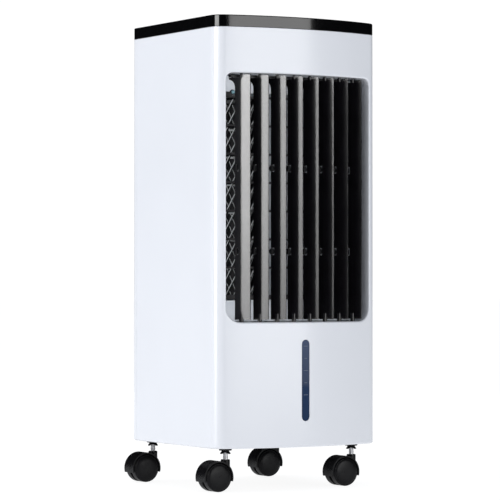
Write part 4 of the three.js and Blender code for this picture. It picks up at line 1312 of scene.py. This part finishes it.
def wound_path():
    """Three turns and a last straight round the cleats: from the wide turn in to the tight one,
    then back out, one layer further from the wall."""
    wide, tight = 19.6, 12.9
    near, far = BACK + 3.8, BACK + 10.2
    path = []

    def straight(z_side, x0, x1, r0, r1, y0, y1, steps=10):
        for k in range(steps):
            t = k / steps
            ease = t * t * (3 - 2 * t)
            r, y = r0 + (r1 - r0) * ease, y0 + (y1 - y0) * ease
            path.append((x0 + (x1 - x0) * t, y, CLEAT_Z + z_side * r))

    def bend(x, r, y, start, stop, steps=14):
        for a, b in arc(x, CLEAT_Z, r, start, stop, steps)[:-1]:
            path.append((a, y, b))

    turns = [(wide, tight, near, near), (tight, tight, near, far), (tight, wide, far, far)]
    for r0, r1, y0, y1 in turns:
        straight(1, -CLEAT_X, CLEAT_X, r0, r0, y0, y0)
        bend(CLEAT_X, r0, y0, 90, -90)
        straight(-1, CLEAT_X, -CLEAT_X, r0, r1, y0, y1)
        bend(-CLEAT_X, r1, y1, -90, -270)
    straight(1, -CLEAT_X, CLEAT_X, wide, wide, far, far)
    lead = [(CORD_OUTLET_X, BACK - 8, CLEAT_Z), (CORD_OUTLET_X, BACK, CLEAT_Z)]
    lead += [(CORD_OUTLET_X + 1, near, CLEAT_Z + 2), (-72, near, CLEAT_Z + 9), (-55, near, CLEAT_Z + 17.5)]
    tail = [(CLEAT_X + 2, far, CLEAT_Z + wide), (50, far - 1, 617), (61, BACK + 8, 608)]
    tail += [(68, BACK + 7, 602.5), (74, BACK + 6.8, CLEAT_Z)]
    return smooth_path(lead + [path[0]], 6)[:-1] + [Vector(p) for p in path] + smooth_path(tail, 6)


def power_cord():
    form = sweep(wound_path(), CORD_RADIUS, 12)
    piece("power_cord_flex", form, CORD, "housing", ["power_cord"])
    back = BACK + CLEAT_REACH - 2.4
    front = BACK + 0.4
    middle_y = (front + back) / 2

    def body(inset):
        return rounded(front + inset, back - inset, CLEAT_Z - 11 + inset, CLEAT_Z + 11 - inset, 4.5 - inset)

    collar = [(0, 62), (4.2, 62), (4.8, 63), (5.2, 71), (0, 71)]
    form = cushioned(body, 70, 98, 2.2, "X")
    form = fused(form, moved(turned(lathe(collar, 24), 90, "Y"), 0, middle_y, CLEAT_Z))
    ring = rounded(front - 1, back + 1, CLEAT_Z - 12, CLEAT_Z + 12, 4.5)
    core = rounded(front + 0.6, back - 0.6, CLEAT_Z - 10.4, CLEAT_Z + 10.4, 4)
    grooves = [carved(prism(ring, x, x + 1.4, "X"), prism(core, x - 1, x + 3, "X")) for x in (75, 78.5, 82)]
    piece("power_plug", carved(form, *grooves), CORD, "housing", crease=35)
    pin = [(0, 97), (2.3, 97), (2.3, 110.6), (1.5, 112), (0, 112)]
    pins = []
    for dz in (-6.5, 6.5):
        pins += moved(turned(lathe(pin, 20), 90, "Y"), 0, middle_y, CLEAT_Z + dz)
    piece("power_plug_pins", pins, STEEL, "housing")


# ---- Base and casters ----

CASTERS = ["front_left", "front_right", "rear_left", "rear_right"]
CASTER_RADIUS = 20
HOOD_RADIUS = 23
HOOD_HALF = 13
STEM_RADIUS = 3.25
SKIRT_GAP = -31  # degrees from +Y: the way the skirt's two notches face


def stem_place(name):
    place = joint_place(f"caster_{name}_turn")
    return Vector((place.x, place.y, 0))


def base_plate():
    """The floor of the body with its rails, and a flange with a notched skirt at each caster."""
    plan = [place(WALL + 0.6) for place in closed_outline()]
    form = prism(plan, UNDERSIDE + 0.2, UNDERSIDE + 5)
    rails = [box(x - 6, x + 6, -110, 105, UNDERSIDE + 4, 75.7) for x in (-80, 80)]
    profile = [(0, 70), (9, 70), (9, 56.9), (8.6, 56.4), (5.2, 56.4), (5.6, 55.0), (7.5, 52.4)]
    profile += [(7.3, 51.7), (6.6, 51.9), (4.8, 54.4), (0, 54.4)]
    notch = turned(prism(circle(0, 48.3, 5.5, 32), -9, 9, "Y"), SKIRT_GAP)
    sockets, holes = [], []
    for name in CASTERS:
        place = stem_place(name)
        sockets.append(lathe(profile, 40, "Z", place))
        holes.append(prism(circle(place.x, place.y, STEM_RADIUS + 0.4, 24), 50, 75))
        holes.append(moved(notch, place.x, place.y))
    form = carved(fused(form, *rails, *sockets), *holes)
    piece("base_plate_tray", form, BLACK, "housing", ["base_plate"], crease=35)


def caster_stem(name):
    """A turned pin with a groove near its top and a shoulder where it enters the hood."""
    low, high = span(f"caster_{name}_stem")
    r, top = STEM_RADIUS, high.z
    groove, shoulder = r - 0.6, r + 0.25
    profile = [(0, low.z), (r - 0.4, low.z), (r, low.z + 0.5)]
    profile += [(r, 46.6), (shoulder, 46.8), (shoulder, 47.6), (r, 47.8)]
    profile += [(r, top - 5), (groove, top - 4.6), (groove, top - 3.4), (r, top - 3)]
    profile += [(r, top - 0.8), (r - 0.8, top), (0, top)]
    form = lathe(profile, 32, "Z", stem_place(name))
    piece(f"caster_{name}_pin", form, SHADED_STEM_STEEL, "housing", [f"caster_{name}_stem"])


def hood_skin(overlap, around=132, along=44):
    """The hood's curved back, with a fine diamond knurl raised on it, about the axle at the origin."""
    inner = HOOD_RADIUS - 2
    raised, turns, pitch = 0.32, 24, 5.2
    rings = []
    for i in range(around + 1):
        share = i / around
        t = math.radians(-overlap + (180 + 2 * overlap) * share)
        ring = []
        for j in range(along + 1):
            y = -HOOD_HALF + 2 * HOOD_HALF * j / along
            a = math.sin(math.pi * (share * turns + y / pitch))
            b = math.sin(math.pi * (share * turns - y / pitch))
            fade = min(1, 4 * (1 - abs(y) / HOOD_HALF), 14 * share, 14 * (1 - share))
            radius = HOOD_RADIUS - raised * (1 - abs(a * b)) * max(fade, 0)
            ring.append((radius * math.cos(t), y, radius * math.sin(t)))
        for y in (HOOD_HALF, -HOOD_HALF):
            ring.append((inner * math.cos(t), y, inner * math.sin(t)))
        rings.append(ring)
    return tube(rings)


def hood_form():
    """The caster's hood: knurled back, a web between the wheels, and the boss that holds the stem."""
    overlap, trail, web_half = 15, 17.4, 1.8
    room = circle(0, 0, HOOD_RADIUS - 2, 72)
    web = arc(0, 0, HOOD_RADIUS - 1, -overlap, 180 + overlap, 40)
    web += arc(0, 0, 6, 180 + overlap, 360 - overlap, 12)
    boss = [(0, 10), (6.5, 10), (6.5, 23.2), (5.9, 24), (0, 24)]
    form = fused(
        hood_skin(overlap),
        prism(web, -web_half, web_half, "Y"),
        lathe(boss, 36, "Z", (trail, 0, 0)),
    )
    left_room = carved(
        prism(room, -CASTER_RADIUS, -web_half, "Y"),
        prism(circle(0, 0, 5, 24), -1 - web_half, web_half, "Y"),
    )
    right_room = prism(room, web_half, CASTER_RADIUS, "Y")
    stem_bore = prism(circle(trail, 0, STEM_RADIUS + 0.4, 24), 17, 30)
    axle_bore = prism(circle(0, 0, 2.9, 24), -5, 5, "Y")
    return carved(form, left_room, right_room, stem_bore, axle_bore)


def caster_wheel_form():
    """One wheel on the +Y side: tread, a step, and a slightly domed cap with a ring round it."""
    r, bore, face = CASTER_RADIUS, 3.1, 16
    tread = [(bore, 2.3), (r - 1, 2.3), (r - 0.3, 2.6), (r, 3.3), (r, 11.6), (r - 0.25, 12.6)]
    step = [(r - 0.9, 13.3), (r - 1.5, 13.5), (r - 1.7, 13.3), (r - 2.0, 13.3), (r - 2.2, 13.7)]
    cap = [(r - 3.0, 14.5), (r - 5.0, 15.2), (r - 8, 15.65), (r - 12, 15.9), (r - 16, face)]
    return lathe(tread + step + cap + [(0, face), (0, 12.9), (bore, 12.9)], 72, "Y")


def casters():
    hood, wheel = hood_form(), caster_wheel_form()
    for name in CASTERS:
        caster = f"caster_{name}"
        place = joint_place(f"{caster}_roll_a")
        caster_stem(name)
        form = moved(hood, *place)
        swivel, replaced = f"{caster}_swivel", [f"{caster}_hood"]
        piece(f"{caster}_cowl", form, CASTER_BLACK, swivel, replaced, crease=38)
        for side, turn in (("a", 180), ("b", 0)):
            body = f"{caster}_wheel_{side}"
            form = moved(turned(wheel, turn), *place)
            piece(f"{caster}_roller_{side}", form, CASTER_BLACK, body, [body], crease=30)


# ---- Carried-over CAD nodes ----


def finish_cad_nodes():
    """Works that stay as the frame made them get their own finish."""
    finishes = {
        "tank_deck": GREY,
        "pump": BLACK,
        "pump_hose": SILICONE,
        "water_distributor": GREY,
        "fan_motor": CAN,
        "motor_bracket": STEEL,
        "fan_shaft": STEEL,
        "swing_motor": CAN,
        "control_board": BOARD,
    }
    finishes |= {f"caster_{name}_axle": STEEL for name in CASTERS}
    for name, material in finishes.items():
        node = frame["nodes"][name]
        node.data.materials.clear()
        node.data.materials.append(material)


# ---- Studio ----


def softbox(
    name, azimuth, distance, height, width, tall, radiance, glossy=True, diffuse=True, foot=1.0, only=()
):
    """A rectangular light round the object; azimuth 0 is ahead of its front and -90 on its left.
    foot is how bright its lower edge is next to its upper half, and only names the pieces it lights."""
    data = bpy.data.lights.new(name, "AREA")
    data.shape = "RECTANGLE"
    data.size = width
    data.size_y = tall
    data.energy = radiance * math.pi * width * tall
    data.use_nodes = True
    nodes, links = data.node_tree.nodes, data.node_tree.links
    place = nodes.new("ShaderNodeNewGeometry")
    split = nodes.new("ShaderNodeSeparateXYZ")
    fade = nodes.new("ShaderNodeMapRange")
    fade.inputs["From Max"].default_value = 0.45
    fade.inputs["To Min"].default_value = foot
    fade.inputs["To Max"].default_value = 1.0
    links.new(place.outputs["Parametric"], split.inputs[0])
    links.new(split.outputs["Y"], fade.inputs["Value"])
    links.new(fade.outputs["Result"], nodes["Emission"].inputs["Strength"])
    light = bpy.data.objects.new(name, data)
    bpy.context.scene.collection.objects.link(light)
    angle = math.radians(azimuth)
    light.location = (math.sin(angle) * distance, -math.cos(angle) * distance, height)
    light.rotation_euler = (LIT_POINT - light.location).to_track_quat("-Z", "Y").to_euler()
    light.visible_camera = False
    light.visible_glossy = glossy
    light.visible_diffuse = diffuse
    if only:
        lit = bpy.data.collections.new(name)
        for thing in only:
            lit.objects.link(bpy.data.objects[thing])
        light.light_linking.receiver_collection = lit


def studio_world():
    """Even light from all round, dim in reflections, behind a pure white backdrop."""
    world = bpy.data.worlds.new("studio")
    bpy.context.scene.world = world
    world.use_nodes = True
    nodes, links = world.node_tree.nodes, world.node_tree.links
    nodes.clear()
    rays = nodes.new("ShaderNodeLightPath")
    output = nodes.new("ShaderNodeOutputWorld")

    def background(strength, colour):
        made = nodes.new("ShaderNodeBackground")
        made.inputs["Color"].default_value = (*colour, 1)
        made.inputs["Strength"].default_value = strength
        return made.outputs[0]

    def chosen(ray, without, seen):
        mix = nodes.new("ShaderNodeMixShader")
        links.new(rays.outputs[ray], mix.inputs["Fac"])
        links.new(without, mix.inputs[1])
        links.new(seen, mix.inputs[2])
        return mix.outputs[0]

    fill = background(0.47, (0.94, 0.97, 1.02))
    mirrored = background(0.01, (0.95, 0.97, 1.0))
    backdrop = background(1.05, (1, 1, 1))
    even = chosen("Is Glossy Ray", fill, mirrored)
    links.new(chosen("Is Camera Ray", even, backdrop), output.inputs["Surface"])


def floor():
    """A plain white floor that shows to the camera almost evenly, with only a faint contact shadow."""
    reach = 30.0
    corners = [(-reach, -reach, 0), (reach, -reach, 0), (reach, reach, 0), (-reach, reach, 0)]
    mesh = bpy.data.meshes.new("studio_floor")
    mesh.from_pydata(corners, [], [(0, 1, 2, 3)])
    ground = bpy.data.objects.new("studio_floor", mesh)
    bpy.context.scene.collection.objects.link(ground)
    paint = Paint("studio_floor", (0.85, 0.86, 0.88), 0.9)
    paint.surface.inputs[SPECULAR].default_value = 0.0
    glow = paint.node("ShaderNodeEmission")
    glow.inputs["Strength"].default_value = 1.25
    rays = paint.node("ShaderNodeLightPath").outputs
    mix = paint.node("ShaderNodeMixShader")
    seen = paint.sum_of(rays["Is Diffuse Ray"], 0.9, rays["Is Camera Ray"])
    paint.link(paint.sum_of(seen, 0.37, 0.35), mix.inputs["Fac"])
    paint.link(paint.surface.outputs[0], mix.inputs[1])
    paint.link(glow.outputs[0], mix.inputs[2])
    paint.link(mix.outputs[0], paint.tree.nodes["Material Output"].inputs["Surface"])
    mesh.materials.append(paint.material)


def camera():
    """Level with the lower half of the body, ahead of it and to its left, with a long lens."""
    azimuth, distance, height = 31.08, 3.672, 0.2916
    aim_azimuth, pitch = 31.07, 0.70
    data = bpy.data.cameras.new("camera")
    data.lens = 183.24
    data.sensor_width = 36
    eye = bpy.data.objects.new("camera", data)
    bpy.context.scene.collection.objects.link(eye)
    angle = math.radians(azimuth)
    eye.location = (-math.sin(angle) * distance, -math.cos(angle) * distance, height)
    eye.rotation_euler = (math.radians(90 + pitch), 0, math.radians(-aim_azimuth))
    bpy.context.scene.camera = eye


LIT_POINT = Vector((0, 0, 0.33))
INSIDE_OUTLET = ["scroll_casing_duct", "scroll_wall", "crossflow_wheel_cage", "outlet_guard_ribs"]
INSIDE_OUTLET += ["guard_screw"]
FRONT = [f"louver_{number}_blade" for number in range(1, LOUVER_COUNT + 1)] + ["front_shell_moulding"]


def studio():
    """Three lights that are only mirrored, four that only light, and one for the inside of the outlet."""
    bpy.context.scene.view_settings.view_transform = "Standard"
    studio_world()
    floor()
    # azimuth in degrees; distance, height, width and tall in metres; radiance
    softbox("key_mirrored", -82.8, 2.6, 0.6, 0.50, 1.3, 24.5, diffuse=False, foot=0.2, only=FRONT)
    softbox("cover_mirrored", -74, 2.6, 1.15, 1.4, 0.6, 8.5, diffuse=False)
    softbox("panel_mirrored", 14, 2.6, 0.6, 1.80, 1.6, 3.6, diffuse=False)
    softbox("side_fill", -105, 2.6, 0.8, 1.5, 1.6, 3.0, glossy=False)
    softbox("left_fill", -50, 2.8, 0.7, 1.5, 1.5, 1.7, glossy=False)
    softbox("right_fill", 34, 2.8, 0.6, 1.5, 1.5, 1.15, glossy=False)
    softbox("rear_fill", 168, 2.8, 0.8, 1.8, 1.6, 2.0, glossy=False)
    softbox("outlet_fill", -31, 2.8, 0.30, 0.2, 0.25, 165, glossy=False, only=INSIDE_OUTLET)
    camera()


# ---- Assembly ----

front_shell()
rear_cover()
top_cover()
display_lens()
for button in BUTTONS:
    top_button(button)
level_window()
louvers()
drive_bar()
tie_bar("tie_bar_lower")
tie_bar("tie_bar_upper")
crossflow_wheel()
scroll_casing()
outlet_guard()
top_bearing()
rear_filter()
dust_filter()
cooling_pad()
water_tank()
tank_latch()
power_cord()
base_plate()
casters()
finish_cad_nodes()
studio()
